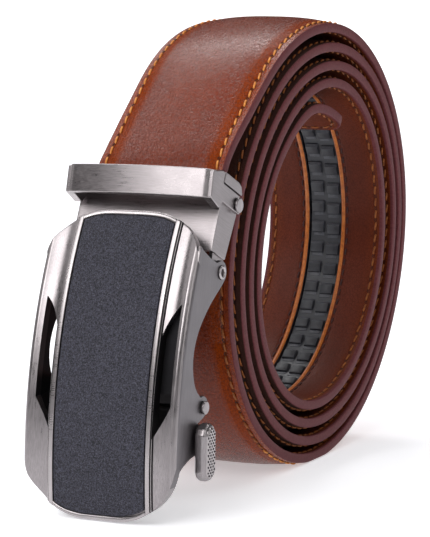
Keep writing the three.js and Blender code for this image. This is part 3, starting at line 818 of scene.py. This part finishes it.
def build_holes(name, rows, pitch, side, mat, ra=0.46, rb=0.40):
    """needle holes between the stitches, as small cups painted near-black: painted shade inside the holes"""
    prof = [(1.0, 0.035), (0.82, -0.02), (0.5, -0.10), (0.0, -0.13)]
    R = 9
    verts, faces = [], []
    for x, u, d in rows:
        cx, cu = x + d[0] * pitch / 2, u + d[1] * pitch / 2
        b = len(verts)
        for f, hgt in prof[:-1]:
            for r in range(R):
                a = 2 * math.pi * r / R
                p, q = math.cos(a) * ra * f, math.sin(a) * rb * f
                xx, uu = cx + p * d[0] - q * d[1], min(L_END, max(0, cu + p * d[1] + q * d[0]))
                verts.append((xx, uu, hgt + 0.05))
        verts.append((cx, cu, prof[-1][1] + 0.05))
        for k in range(len(prof) - 2):
            for r in range(R):
                r2 = (r + 1) % R
                faces.append((b + k * R + r, b + k * R + r2, b + (k + 1) * R + r2, b + (k + 1) * R + r))
        t = b + (len(prof) - 2) * R
        for r in range(R):
            faces.append((t + r, t + (r + 1) % R, b + (len(prof) - 1) * R))
    v = np.array(verts)
    py, pz, ny, nz = along(v[:, 1])
    base = np.array([surface_offset(a, b, side) for a, b in zip(v[:, 0], v[:, 1])]) - side * 0.20 * np.exp(-((STRAP_W / 2 - STITCH_IN - np.abs(v[:, 0])) / 0.28) ** 2)
    o = base + side * v[:, 2]
    P = np.stack([v[:, 0], py + ny * o, np.maximum(0.02, pz + nz * o)], 1)
    ob = new_mesh(name, P, faces, [mat])
    # the cups open away from the strap
    out = Vector((0, float(ny[0]) * side, float(nz[0]) * side))
    if ob.data.polygons[0].normal.dot(out) < 0:
        ob.data.flip_normals()
    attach(ob, "rolled_strap")
    return ob


e_in = STRAP_W / 2 - STITCH_IN
u_end = L_END - STITCH_IN - 0.3
rc = TIP_R - STITCH_IN + 0.6
tip = [(e_in - rc + rc * math.cos(a), u_end - rc + rc * math.sin(a)) for a in np.linspace(0, math.pi / 2, 7)]
path = [(e_in, 2.0)] + tip + [(-x, u) for x, u in reversed(tip)] + [(-e_in, 2.0)]
rows = stitch_path(path, STITCH_PITCH)
outer_rows = [r for r in rows if r[1] > 3]
build_stitches("stitches_outer", [r for r in outer_rows if r[1] < 300], 1, M_THREAD)
# the outer stitches on the inner turns take the darker thread: painted shade between the turns
build_stitches("stitches_under", [r for r in outer_rows if r[1] >= 300], 1, M_THREAD_INNER_SHADED)
build_stitches("stitches_inner", outer_rows, -1, M_THREAD_INNER_SHADED, proud=0.06)
build_holes("needle_holes_outer", outer_rows, STITCH_PITCH, 1, M_HOLE)
build_holes("needle_holes_inner", outer_rows, STITCH_PITCH, -1, M_HOLE)
sp = [(6.75, SLOT_START - 2.6), (6.75, SLOT_END + 2.6), (-6.75, SLOT_END + 2.6), (-6.75, SLOT_START - 2.6), (6.75, SLOT_START - 2.6)]
build_stitches("stitches_slot", stitch_path(sp, 3.0), -1, M_THREAD_D, length=2.3, rad=0.26, proud=0.03, slant=6)


# ------------------------------------------------------------------ track
def build_track():
    verts, faces, = [], []
    h = STRAP_T / 2
    half = TRACK_W / 2

    mats = []

    def add_loft(sections, light=()):
        """sections: list of (u, [(x, o), ...]) rings of equal length, closed at both ends"""
        n = len(sections[0][1])
        b = len(verts)
        for u, ring in sections:
            py, pz, ny, nz = along(np.array([u]))
            for x, o in ring:
                verts.append((x, float(py[0] + ny[0] * o), max(0.02, float(pz[0] + nz[0] * o))))
        for i in range(len(sections) - 1):
            for j in range(n):
                k = (j + 1) % n
                faces.append((b + i * n + j, b + i * n + k, b + (i + 1) * n + k, b + (i + 1) * n + j))
                mats.append(1 if i in light else 0)
        faces.append(tuple(b + j for j in range(n)))
        faces.append(tuple(b + (len(sections) - 1) * n + j for j in reversed(range(n))))
        mats.extend([0, 0])

    lo, hi = -h + TRACK_BASE, -h + TOOTH_H
    base = [(half, lo), (half, hi + 0.1), (half - 0.1, hi), (-half + 0.1, hi), (-half, hi + 0.1), (-half, lo)]
    add_loft([(u, base) for u in np.linspace(TRACK_START, TRACK_START + TRACK_LEN, 201)])
    teeth = int(TRACK_LEN // TOOTH_PITCH)
    for k in range(teeth):
        for sx in (-1, 1):
            u0 = TRACK_START + k * TOOTH_PITCH + (0.35 if sx < 0 else 0.95)
            xa, xb = 0.55, half - 0.42
            # a block with a bevelled rim, a low step behind it and a ledge towards the middle
            prof = [(0.0, 0.0), (0.04, 0.42), (0.74, 1.02), (0.90, 1.0), (1.9, 0.84), (3.0, 0.72), (3.18, 0.62), (3.30, 0.42), (3.34, 0.18), (3.36, 0.10), (4.3, 0.10), (4.36, 0.0)]
            secs = []
            for a, t in prof:
                o = hi - t
                r = min(0.30, t * 0.5)
                w = xb if t > 0.15 else xb - 0.5
                ring = [(xa, hi + 0.05), (xa, o + r), (xa + r * 0.3, o + r * 0.3), (xa + r, o), (w - r, o), (w - r * 0.3, o + r * 0.3), (w, o + r), (w, hi + 0.05)]
                secs.append((u0 + a, [(x * sx, oo) for x, oo in ring]))
            # rim strips 1 and 9 take the lighter plastic: painted highlight
            add_loft(secs, light=(1, 9))
    ob = new_mesh("track_teeth", verts, faces, [M_BLACK, M_TOOTH], mats)
    bm = bmesh.new(); bm.from_mesh(ob.data)
    bmesh.ops.recalc_face_normals(bm, faces=bm.faces)
    bm.to_mesh(ob.data); bm.free()
    sharpen(ob, 35)
    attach(ob, "rolled_strap"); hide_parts("track")
    return ob


build_track()


# ------------------------------------------------------------------ clamp frame
def box4(t0, t1, n0, n1):
    return [ct(t0, n0), ct(t0, n1), ct(t1, n1), ct(t1, n0)]


def keeper_bar():
    """bowed bar with chamfered ends, drawn up its own slope"""
    lean = math.radians(16.5)
    foot = ct(BAR_T0, 11.95)
    up, fw = (math.sin(lean), math.cos(lean)), (-math.cos(lean), math.sin(lean))

    def bow(x, o):
        return (x, o + BAR_BOW * (1 - (x / CHEEK_OUT) ** 2))
    xs = np.linspace(-18.5, 18.5, 41)
    front = [(-CHEEK_OUT, -1.15), (-CHEEK_OUT + 0.12, -0.95)] + [bow(x, 0) for x in xs] + [(CHEEK_OUT - 0.12, -0.95), (CHEEK_OUT, -1.15)]
    front = [(-CHEEK_OUT, -1.25)] + [bow(x, 0) for x in xs] + [(CHEEK_OUT, -1.25)]
    back = [bow(x, -BAR_TH) for x in np.linspace(CHEEK_OUT, -CHEEK_OUT, 41)]

    def place(x, o, s):
        return (x, foot[0] + up[0] * s + fw[0] * o, foot[1] + up[1] * s + fw[1] * o)
    return rprism(front + back, 0, BAR_T1 - BAR_T0, place, r=0.22, seg=3)


def build_clamp():
    plate = rprism(box4(3.9, 16.4, PLATE_B, PLATE_F), -19.3, 19.3, PX, r=0.2)
    parts = [rprism(box4(10, 20.5, PLATE_B + 0.01, PLATE_F - 0.01), -CHEEK_IN - 0.2, CHEEK_IN + 0.2, PX, r=0.12),
             rprism(box4(19, 22.6, PLATE_B + 0.02, PLATE_F - 0.02), -17.3, 17.3, PX, r=0.25)]
    lower = corner_round([ct(3.9, PLATE_F + 0.02), ct(16.4, PLATE_F + 0.02), ct(16.4, -4.6), ct(3.9, -2.9)], 0.5)
    lug = corner_round(arc(HINGE, 3.0, 205, 330, 14) + [ct(4.6, -2.88), ct(6.2, -2.88), ct(6.2, 3.4), ct(2.4, 3.0)], 0.4)
    cheek = corner_round([ct(16.2, -4.62), ct(16.2, 5.0), ct(14.2, 6.4), ct(15.05, 11.6), ct(BAR_T1 - 0.35, 12.65), ct(23.3, 7.9), ct(23.3, 6.5),
                          ct(20.55, 6.5), ct(20.55, -3.0), ct(19.85, -4.4), ct(17.98, -4.9)], 0.45)
    for s in (1, -1):
        parts.append(span(lower, CHEEK_IN, 19.32, s, r=0.28))
        parts.append(span(lug, CHEEK_IN + 0.02, 18.85, s, r=0.15))
        parts.append(span(cheek, CHEEK_IN - 0.02, CHEEK_OUT + 0.01, s, r=0.28))
    parts.append(keeper_bar())
    ob = boolean(plate, parts)
    cuts = [rod(HINGE, 1.8, 17, 19.2, 32, 0.01), rod(HINGE, 1.8, -19.2, -17, 32, 0.01), rod(JAW_PIN, 1.6, -22, 22, 32, 0.01)]
    ob = boolean(ob, cuts, "DIFFERENCE")
    fwd = Vector((0, -math.cos(LEAN), math.sin(LEAN)))

    def pick(f):
        n = f.normal
        if abs(n.x) > 0.9:
            return 1
        if n.dot(fwd) > 0.93 or n.dot(fwd) < -0.9:
            return 0
        return 2
    return finish_metal(ob, "clamp_frame_cast", [M_BX, M_BC, M_BEV], "rolled_strap", "clamp_frame", pick)


build_clamp()


def build_jaw():
    back = corner_round([ct(16.4, -4.5), ct(17.98, -5.0), ct(21.6, -4.2), ct(23.0, -3.2), ct(23.4, -1.6), ct(23.4, -0.6), ct(21.9, 0.2), ct(21.2, 0.45),
                         ct(20.9, 0.2), ct(20.2, -1.2), ct(16.9, -1.6)], 0.3, ang=40)
    ear = corner_round([ct(20.85, -4.3), ct(21.6, -4.2), ct(23.0, -3.2), ct(23.5, -1.6), ct(23.5, 6.2), ct(20.85, 6.2)], 0.8, ang=20, seg=5)
    ob = rprism(back, -17.45, 17.45, PX, r=0.15)
    parts = [span(ear, 17.62, 20.0, s, r=0.25) for s in (1, -1)]
    link = [ct(20.9, -4.15), ct(21.5, -4.05), ct(22.9, -3.1), ct(23.2, -1.7), ct(22.4, -1.0), ct(20.95, -1.0)]
    parts += [span(link, 17.2, 17.9, s, r=0.02, seg=1) for s in (1, -1)]
    ob = boolean(ob, parts)
    ob = boolean(ob, [rod(JAW_PIN, 1.6, -22, 22, 32, 0.01)], "DIFFERENCE")
    return finish_metal(ob, "clamp_jaw_flap", [M_BC, M_BX], "jaw", "clamp_jaw", lambda f: 0 if abs(f.normal.x) > 0.7 else 1)


build_jaw()


def head_profile(x0, x1, r, dome):
    """pin head between x0 and x1 (x1 is the free end), slightly domed"""
    s = 1 if x1 > x0 else -1
    pts = [(x0, 0.0), (x0, r - 0.05), (x0 + 0.1 * s, r), (x1 - 0.28 * s, r)]
    for k in range(1, 6):
        a = math.pi / 2 * k / 5
        pts.append((x1 - 0.28 * s + 0.28 * s * math.sin(a), r - 0.3 + 0.3 * math.cos(a)))
    for k in range(1, 5):
        f = k / 4
        pts.append((x1 + dome * s * (1 - (1 - f) ** 2), (r - 0.3) * (1 - f)))
    return pts


ob = boolean(rod(JAW_PIN, 1.3, -20.5, 20.5, 28, 0.05), [lathe(JAW_PIN, head_profile(20.3, 20.85, 1.9, 0.06), 40), lathe(JAW_PIN, head_profile(-20.3, -20.85, 1.9, 0.06), 40)])
finish_metal(ob, "jaw_pin_turned", [M_BZ], "rolled_strap", "jaw_pin")
ob = boolean(rod(LEVER, 1.2, -21.0, 21.0, 28, 0.05), [lathe(LEVER, head_profile(20.8, 21.45, 1.65, 0.06), 40), lathe(LEVER, head_profile(-20.8, -21.45, 1.65, 0.06), 40)])
finish_metal(ob, "lever_pin_turned", [M_BZ], "buckle", "lever_pin")


def eyelet(s, name, node):
    """tubular rivet with a rolled rim"""
    x = 20.8 * s
    prof = [(16.85 * s, 0.0), (16.85 * s, 1.8), (17.0 * s, 1.9), (17.35 * s, 1.9), (17.45 * s, 1.5), (20.6 * s, 1.5), (20.6 * s, 1.7), (20.66 * s, 1.72)]
    for k in range(0, 9):
        a = math.pi * k / 8
        prof.append(((20.70 + 0.30 * math.sin(a)) * s, 1.32 + 0.42 * math.cos(a)))
    prof += [(20.3 * s, 0.86), (19.2 * s, 0.82), (19.0 * s, 0.6), (19.0 * s, 0.0)]
    ob = lathe(HINGE, prof, 40)
    finish_metal(ob, name, [M_BEV], "rolled_strap", node, deg=50)


eyelet(1, "hinge_eyelet_right", "hinge_rivet_right")
eyelet(-1, "hinge_eyelet_left", "hinge_rivet_left")

# ------------------------------------------------------------------ buckle housing
OUT_BOT = [(0, 0.0), (5, 0.0), (7, 0.25), (9, 0.7), (11, 1.45), (12.9, 2.6), (14.2, 3.45), (15.4, 4.4), (16.8, 5.75), (18, 7.3), (19, 9.1), (19.8, 11.3), (20.3, 13.4), (20.5, 15.5)]
OUT_TOP = [(0, 72.75), (4, 72.75), (7.5, 72.6), (9.3, 72.3), (11, 71.85), (12.5, 71.3), (13.9, 70.8), (15.6, 70.0), (16.7, 69.1), (17.5, 68.2), (18.4, 67.1), (19.5, 65.3), (20.2, 63.4), (20.5, 61.5)]
z_bot = lambda x: np.interp(abs(x), [p[0] for p in OUT_BOT], [p[1] for p in OUT_BOT])
z_top = lambda x: np.interp(abs(x), [p[0] for p in OUT_TOP], [p[1] for p in OUT_TOP])


def arc_point(z, r):
    """(y, z) at radius r on the ray that meets the face circle at height z"""
    a = math.asin((z - ARC_C[1]) / ARC_R)
    return (ARC_C[0] - r * math.cos(a), ARC_C[1] + r * math.sin(a))


def face_height(x, e, zz):
    """radial height of the buckle's face over ARC_R; e is the distance inside the outline, along z"""
    ax = abs(x)
    edge = max(0.0, 0.45 - e) / 0.45
    rnd = 0.42 * (1 - math.sqrt(max(0.0, 1 - edge * edge)))
    rim = 1.12                                  # rim between outline and inlay
    if ax <= RAIL_IN - 0.02:
        if e >= rim + 0.06:
            return -1.05
        bead = -0.14 * ((e - 0.62) / 0.5) ** 2
        return bead - rnd
    if ax <= 14.36:
        # flat rail, groove, thin lip, groove
        t = np.interp(ax, [12.58, 12.72, 13.2, 13.60, 13.72, 13.76, 13.88, 13.93, 14.05, 14.16, 14.20, 14.33],
                      [-0.16, -0.02, 0.0, -0.02, -0.14, -0.60, -0.60, -0.36, -0.28, -0.36, -1.15, -1.15])
        return float(t) - rnd
    g = min(1.0, (ax - 14.36) / (19.1 - 14.36))
    h = -0.85 + 0.45 * g * g - 0.45 * math.sin(math.pi * g)
    if ax > 19.1:
        t = min(1.0, (ax - 19.1) / 1.4)
        h = -0.40 - 1.8 * (1 - math.sqrt(max(0.0, 1 - t * t)))
    return h - rnd * 0.8


def build_housing():
    xs = [0, 2, 4, 5.5, 7, 8.2, 9.4, 10.4, 11.3, 12.0, 12.4, 12.56, 12.60, 12.72, 12.9, 13.2, 13.45, 13.60, 13.68, 13.72, 13.76, 13.88, 13.93, 13.98, 14.05, 14.11, 14.16, 14.20, 14.33, 14.37,
          14.6, 14.9, 15.3, 15.7, 16.2, 16.7, 17.2, 17.7, 18.2, 18.6, 18.9, 19.1, 19.3, 19.5, 19.7, 19.9, 20.08, 20.22, 20.34, 20.43, 20.48, 20.5]
    cols = [-x for x in reversed(xs[1:])] + xs
    ends = [0, 0.07, 0.17, 0.3, 0.45, 0.7, 0.95, 1.08, 1.12, 1.18, 1.24, 1.5, 1.8, 2.2, 2.6]
    verts, faces = [], []
    nrow = None
    grid_f, grid_b = [], []
    mid = 84
    for x in cols:
        lo, hi = float(z_bot(x)), float(z_top(x))
        zs = [lo + e for e in ends] + list(np.linspace(lo + 2.6, hi - 2.6, mid)[1:-1]) + [hi - e for e in reversed(ends)]
        es = [min(z - lo, hi - z) for z in zs]
        cf, cb = [], []
        for z, e in zip(zs, es):
            p = arc_point(z, ARC_R + face_height(x, e, z))
            xo = x - (0.7 * float(ramp(-x, 15, 20.5)) if x < 0 else 0)
            cf.append(len(verts)); verts.append((xo, p[0], p[1]))
            q = arc_point(z, ARC_R - (3.3 if abs(x) > 13.9 else 2.9))
            cb.append(len(verts)); verts.append((xo, q[0], q[1]))
        nrow = len(zs)
        grid_f.append(cf); grid_b.append(cb)
    for i in range(len(cols) - 1):
        for j in range(nrow - 1):
            faces.append((grid_f[i][j], grid_f[i + 1][j], grid_f[i + 1][j + 1], grid_f[i][j + 1]))
            faces.append((grid_b[i][j], grid_b[i][j + 1], grid_b[i + 1][j + 1], grid_b[i + 1][j]))
        faces.append((grid_f[i][0], grid_b[i][0], grid_b[i + 1][0], grid_f[i + 1][0]))
        faces.append((grid_f[i][-1], grid_f[i + 1][-1], grid_b[i + 1][-1], grid_b[i][-1]))
    for c, flip in ((0, False), (len(cols) - 1, True)):
        for j in range(nrow - 1):
            q = (grid_f[c][j], grid_f[c][j + 1], grid_b[c][j + 1], grid_b[c][j])
            faces.append(q if not flip else tuple(reversed(q)))
    face = new_mesh("face", verts, faces)
    bm = bmesh.new(); bm.from_mesh(face.data)
    bmesh.ops.recalc_face_normals(bm, faces=bm.faces)
    bm.to_mesh(face.data); bm.free()
    side = [(-75.4, 61.8), (-74.6, 64.0), (-73.6, 65.0), (-72.6, 64.0), (-69.3, 61.9), (-65.8, 60.3)] + arc(HINGE, 2.9, 88, -62, 16) + [(-63.4, 54.2), (-66.8, 52.2), (-69.3, 50.6), (-71.6, 48.8),
            (-73.8, 46.9), (-75.7, 44.9), (-77.1, 42.8), (-78.1, 40.6), (-78.65, 38.6), (-78.8, 36.6), (-78.65, 34.8), (-78.2, 33.0), (-77.6, 31.7), (-76.8, 30.6)] + \
        arc(LEVER, 2.8, 110, -35, 14) + [(-74.2, 23.6), (-77.2, 22.8), (-78.0, 21.4), (-78.0, 15.5), (-79.2, 15.3), (-80.6, 15.1), (-82.3, 14.6), (-83.9, 13.9), (-85.8, 12.6), (-87.6, 11.0)] + \
        arc(ARC_C, ARC_R - 2.2, 177.7, 154.4, 20)
    walls = []
    low = [(17, 6), (19.7, 11), (20.45, 15)]
    high = [(20.45, 61.9), (20.15, 63.3), (19.5, 65.0), (19.0, 80)]
    clip = low + [(20.45, 80)] + [(-x, z) for x, z in reversed(high)] + [(-x, z) for x, z in reversed(low)]
    for s in (1, -1):
        out = 0 if s > 0 else 0.7
        wall = span(side, WALL_IN, WALL_OUT - 0.02 + out, s, r=0.25)
        walls.append(boolean(wall, [rprism([(x + math.copysign(out, x), z) for x, z in clip], -95, -50, PY, r=0.02, seg=1)], "INTERSECT"))
    ob = boolean(face, walls)
    win = [(18.4, 52)]
    for k in range(1, 9):
        t = k / 8
        win.append(((1 - t) ** 2 * 18.4 + 2 * t * (1 - t) * 15.6 + t * t * 14.2, (1 - t) ** 2 * 52 + 2 * t * (1 - t) * 49.4 + t * t * 44.4))
    win += [(14.05, 20.7), (18.4, 28.3)]
    cuts = [rprism([(x * s, z) for x, z in win], -96, -60, PY, r=0.02, seg=1) for s in (1, -1)]
    cuts += [rod(HINGE, 1.8, 18, 22, 32, 0.01), rod(HINGE, 1.8, -22, -18, 32, 0.01), rod(LEVER, 1.5, -22, 22, 32, 0.01)]
    ob = boolean(ob, cuts, "DIFFERENCE")

    def pick(f):
        c, n = f.calc_center_median() / MM, f.normal
        # faces inside the housing (index 3) take the near-black metal: painted shade
        if abs(n.x) > 0.93:
            return 1 if abs(c.x) > 20 or c.z < 17 and abs(c.x) > 16.5 else 3
        r = math.hypot(c.y - ARC_C[0], c.z - ARC_C[1])
        if r < ARC_R - 2.5:
            return 1 if c.z < 17 and abs(c.x) > 16.5 else 3
        if RAIL_IN - 0.05 <= abs(c.x) <= 14.2 or (abs(c.x) < RAIL_OUT and r > ARC_R - 0.6):
            return 2
        return 0
    return finish_metal(ob, "buckle_housing_cast", [M_BZ, M_BZS, M_BEV, M_SHADE_DARK], "buckle", "buckle_housing", pick, deg=32)


M_BZS = brushed("metal_side_wall", (0, 0.25, 1), base=(0.21, 0.195, 0.205), rough=(0.34, 0.46), strength=0.18)
build_housing()


def build_shade_liner():
    """dark plate that closes the inside of the buckle behind the windows' far part: painted shade, standing in for the
    shade in there
    """
    outline = [arc_point(z, ARC_R - 3.35) for z in np.linspace(31.5, 56, 12)] + [arc_point(z, ARC_R - 3.95) for z in np.linspace(56, 31.5, 12)]
    ob = rprism(outline, -12.6, 19.0, PX, r=0.1, name="liner")
    ob = boolean(ob, [rprism([arc_point(z, ARC_R - 2.6) for z in np.linspace(40, 54, 8)] + [arc_point(z, ARC_R - 3.6) for z in np.linspace(54, 40, 8)], 18.7, 19.3, PX, r=0.05)])
    finish_metal(ob, "housing_shade_liner", [M_BLACKISH], "buckle", None, deg=35)
    # a second dark sheet along the left wall's inside: painted shade
    rim = [(-69.6, 50.4), (-71.6, 48.7), (-73.8, 46.8), (-75.7, 44.8), (-77.1, 42.7), (-78.1, 40.5), (-78.6, 38.5), (-78.75, 36.5), (-78.6, 34.8), (-78.1, 33.0), (-77.4, 31.4), (-77.8, 28.5)]
    face = [arc_point(z, ARC_R - 3.4) for z in np.linspace(28.5, 52.5, 12)]
    ob = rprism(rim + face, -19.2, -18.88, PX, r=0.03, name="lining")
    return finish_metal(ob, "housing_shade_lining_left", [M_BLACKISH], "buckle", None, deg=35)


# near-black metal for the liner sheets: painted shade inside the buckle
M_BLACKISH = brushed("metal_shade_liner", (1, 0, 0), base=(0.022, 0.021, 0.023), rough=(0.45, 0.6))
build_shade_liner()


def build_inlay():
    xs = np.concatenate([[-12.3, -12.22, -12.1], np.linspace(-11.8, 11.8, 31), [12.1, 12.22, 12.3]])
    verts, faces = [], []
    f, b = [], []
    for x in xs:
        lo, hi = float(z_bot(x)) + 1.5, float(z_top(x)) - 1.3
        zs = np.concatenate([[lo, lo + 0.08, lo + 0.2], np.linspace(lo + 0.5, hi - 0.5, 80), [hi - 0.2, hi - 0.08, hi]])
        cf, cb = [], []
        for z in zs:
            e = min(z - lo, hi - z, 12.3 - abs(x))
            k = max(0.0, 0.2 - e) / 0.2
            hgt = -0.10 + 0.16 * (1 - (x / 12.3) ** 2) - 0.16 * (1 - math.sqrt(max(0, 1 - k * k)))
            p = arc_point(z, ARC_R + hgt); q = arc_point(z, ARC_R - 0.75)
            cf.append(len(verts)); verts.append((x, p[0], p[1]))
            cb.append(len(verts)); verts.append((x, q[0], q[1]))
        f.append(cf); b.append(cb)
    n = len(f[0])
    for i in range(len(xs) - 1):
        for j in range(n - 1):
            faces.append((f[i][j], f[i + 1][j], f[i + 1][j + 1], f[i][j + 1]))
            faces.append((b[i][j], b[i][j + 1], b[i + 1][j + 1], b[i + 1][j]))
        faces.append((f[i][0], b[i][0], b[i + 1][0], f[i + 1][0]))
        faces.append((f[i][-1], f[i + 1][-1], b[i + 1][-1], b[i][-1]))
    for j in range(n - 1):
        faces.append((f[0][j], f[0][j + 1], b[0][j + 1], b[0][j]))
        faces.append((f[-1][j], b[-1][j], b[-1][j + 1], f[-1][j + 1]))
    ob = new_mesh("inlay_plate", verts, faces, [M_INLAY])
    bm = bmesh.new(); bm.from_mesh(ob.data)
    bmesh.ops.recalc_face_normals(bm, faces=bm.faces)
    bm.to_mesh(ob.data); bm.free()
    sharpen(ob, 60)
    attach(ob, "buckle"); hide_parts("inlay_panel")


build_inlay()


# ------------------------------------------------------------------ release lever
def build_lever():
    body = arc(LEVER, 2.5, 55, -75, 12) + [(-72.6, 17.4), (-73.2, 14.6), (-75.0, 14.6), (-75.6, 18.0)] + arc(LEVER, 2.5, 205, 165, 6) + [(-77.6, 29.6), (-78.5, 31.4), (-77.6, 31.9), (-75.0, 30.2)]
    ob = rprism(corner_round(body, 0.3, ang=35), -18.8, 18.8, PX, r=0.2)
    armp = corner_round([(-75.4, 21.6), (-72.4, 22.0), (-72.0, 16.0), (-74.6, 14.6), (-75.4, 15.4)], 0.3)
    tab = corner_round([(-80.4, 12.0), (-79.8, 10.5), (-78.4, 9.5), (-76.4, 9.4), (-75.0, 10.3), (-74.4, 12.0), (-73.9, 20.6), (-74.6, 22.4), (-76.0, 23.3), (-77.6, 23.2), (-79.2, 22.3), (-80.0, 20.8)], 1.4, ang=12, seg=5)
    ob = boolean(ob, [rprism(armp, 17.9, 21.8, PX, r=0.1), rprism(tab, 21.0, 24.0, PX, r=1.0, seg=7)])
    ob = boolean(ob, [rod(LEVER, 1.5, -22, 20.9, 32, 0.01)], "DIFFERENCE")
    # the lever's part inside the housing (x < 19) takes the near-black metal: painted shade
    return finish_metal(ob, "release_lever_cast", [M_BZ, M_BX, M_SHADE_DARK], "lever", "release_lever", lambda f: 0 if (f.calc_center_median().x / MM) > 20.9 else 2 if (f.calc_center_median().x / MM) < 19.0 else 1, deg=34)


build_lever()


def build_knurl():
    """rows of drilled pits over the tab's outer face: small cups let into a thin raised pad"""
    c0, c1 = np.array([-77.35, 12.3]), np.array([-76.95, 20.3])     # middle line of the face
    hw = 2.15
    verts, faces, pit = [], [], []
    ax = c1 - c0
    ln = np.linalg.norm(ax); ax /= ln
    px = np.array([ax[1], -ax[0]])
    step_ = 0.07
    S = np.arange(-hw, ln + hw + 1e-6, step_)
    T = np.arange(-hw, hw + 1e-6, step_)
    ps, pt, ra, rb = 0.70, 1.22, 0.26, 0.40
    idx = -np.ones((len(S), len(T)), int)
    for i, s in enumerate(S):
        for j, t in enumerate(T):
            d = math.hypot(s - np.clip(s, 0, ln), t)
            if d > hw:
                continue
            # nearest pit centre on a staggered grid
            best = 9
            r0 = int(round(s / ps))
            for r in (r0 - 1, r0, r0 + 1):
                off = 0.5 * pt if r % 2 else 0.0
                k = round((t - off) / pt)
                best = min(best, math.hypot((s - r * ps) / ra, (t - off - k * pt) / rb))
            depth = 0.42 * max(0.0, 1 - best ** 2) ** 0.5 if best < 1 else 0.0
            if d > hw - 0.22:
                depth = 0
            pit.append(depth)
            fall = 0.55 * max(0.0, (d - (hw - 0.55)) / 0.55) ** 2.2
            p = c0 + ax * s + px * t
            idx[i, j] = len(verts)
            verts.append((24.47 - depth - fall, p[0], p[1]))
    for i in range(len(S) - 1):
        for j in range(len(T) - 1):
            q = (idx[i, j], idx[i + 1, j], idx[i + 1, j + 1], idx[i, j + 1])
            if min(q) >= 0:
                faces.append(q)
    # the pits take the near-black metal: painted shade in the pits
    ob = new_mesh("lever_grip", verts, faces, [M_BEV, M_SHADE_DARK], [1 if max(pit[i] for i in q) > 0.2 else 0 for q in faces])
    bm = bmesh.new(); bm.from_mesh(ob.data)
    if sum(f.normal.x for f in bm.faces) < 0:
        bmesh.ops.reverse_faces(bm, faces=bm.faces)
    # closed underneath
    ext = bmesh.ops.extrude_face_region(bm, geom=list(bm.faces))
    vs = [v for v in ext["geom"] if isinstance(v, bmesh.types.BMVert)]
    for v in vs:
        v.co.x = 23.6 * MM
    bmesh.ops.recalc_face_normals(bm, faces=bm.faces)
    bm.to_mesh(ob.data); bm.free()
    sharpen(ob, 60)
    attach(ob, "lever")


build_knurl()


# ------------------------------------------------------------------ floor, lights, world
def stage():
    me = bpy.data.meshes.new("floor")
    verts = []
    prof = [(-3.0, 0.0)] + [(1.8 + 0.6 * math.sin(a), 0.6 - 0.6 * math.cos(a)) for a in np.linspace(0, math.radians(42), 12)]
    for y, z in prof:
        verts += [(-5, y, z - 0.0003), (5, y, z - 0.0003)]
    faces = [(2 * i, 2 * i + 1, 2 * i + 3, 2 * i + 2) for i in range(len(prof) - 1)]
    me.from_pydata(verts, [], faces)
    for p in me.polygons:
        p.use_smooth = True
    g = Nodes("floor_white")
    f = g.noise(g.mm, 0.004, 2, 0.5)
    g.set(color=g.mix(g.rangemap(f, 0.3, 0.7), (0.90, 0.905, 0.93), (0.92, 0.925, 0.945)), rough=0.6, spec=0.2)
    g.b.inputs["Emission Color"].default_value = (0.97, 0.975, 1.0, 1)
    g.b.inputs["Emission Strength"].default_value = 0.42
    me.materials.append(g.m)
    ob = bpy.data.objects.new("floor", me)
    bpy.context.scene.collection.objects.link(ob)


def area(name, az, el, dist, size, radiance, aim=(0, -0.02, 0.05), color=(1, 1, 1)):
    """soft box seen from the object at azimuth az (0 is -Y, 90 is +X) and elevation el"""
    a, e = math.radians(az), math.radians(el)
    t = Vector(aim)
    loc = t + Vector((math.sin(a) * math.cos(e), -math.cos(a) * math.cos(e), math.sin(e))) * dist
    l = bpy.data.lights.new(name, "AREA")
    l.shape = "RECTANGLE"
    l.size, l.size_y = size
    l.energy = radiance * math.pi * size[0] * size[1]
    l.color = color
    ob = bpy.data.objects.new(name, l)
    bpy.context.scene.collection.objects.link(ob)
    ob.location = loc
    ob.rotation_mode = "QUATERNION"
    ob.rotation_quaternion = (t - loc).to_track_quat("-Z", "Y")
    return ob


stage()
area("overhead_strip", -118, 59, 1.2, (1.2, 0.30), 3.8)
area("front_box", -12, 41, 0.95, (0.76, 0.5), 4.2)
area("front_mid", -6, 25, 1.2, (0.74, 0.24), 4.0)
area("right_box", 46, 42, 1.15, (0.6, 0.6), 1.4)
area("side_box", 80, 25, 1.1, (0.4, 0.7), 1.9)
area("left_box", -80, 26, 1.2, (0.5, 0.7), 1.2)
area("backdrop_light", 0, 60, 2.2, (4.0, 1.2), 5.0, aim=(0, 2.6, 0.2))
world = bpy.data.worlds.new("studio")
bpy.context.scene.world = world
world.use_nodes = True
world.node_tree.nodes["Background"].inputs[0].default_value = (1, 1, 1, 1)
world.node_tree.nodes["Background"].inputs[1].default_value = 0.05
bpy.context.scene.view_settings.view_transform = "Standard"
bpy.context.scene.view_settings.look = "None"
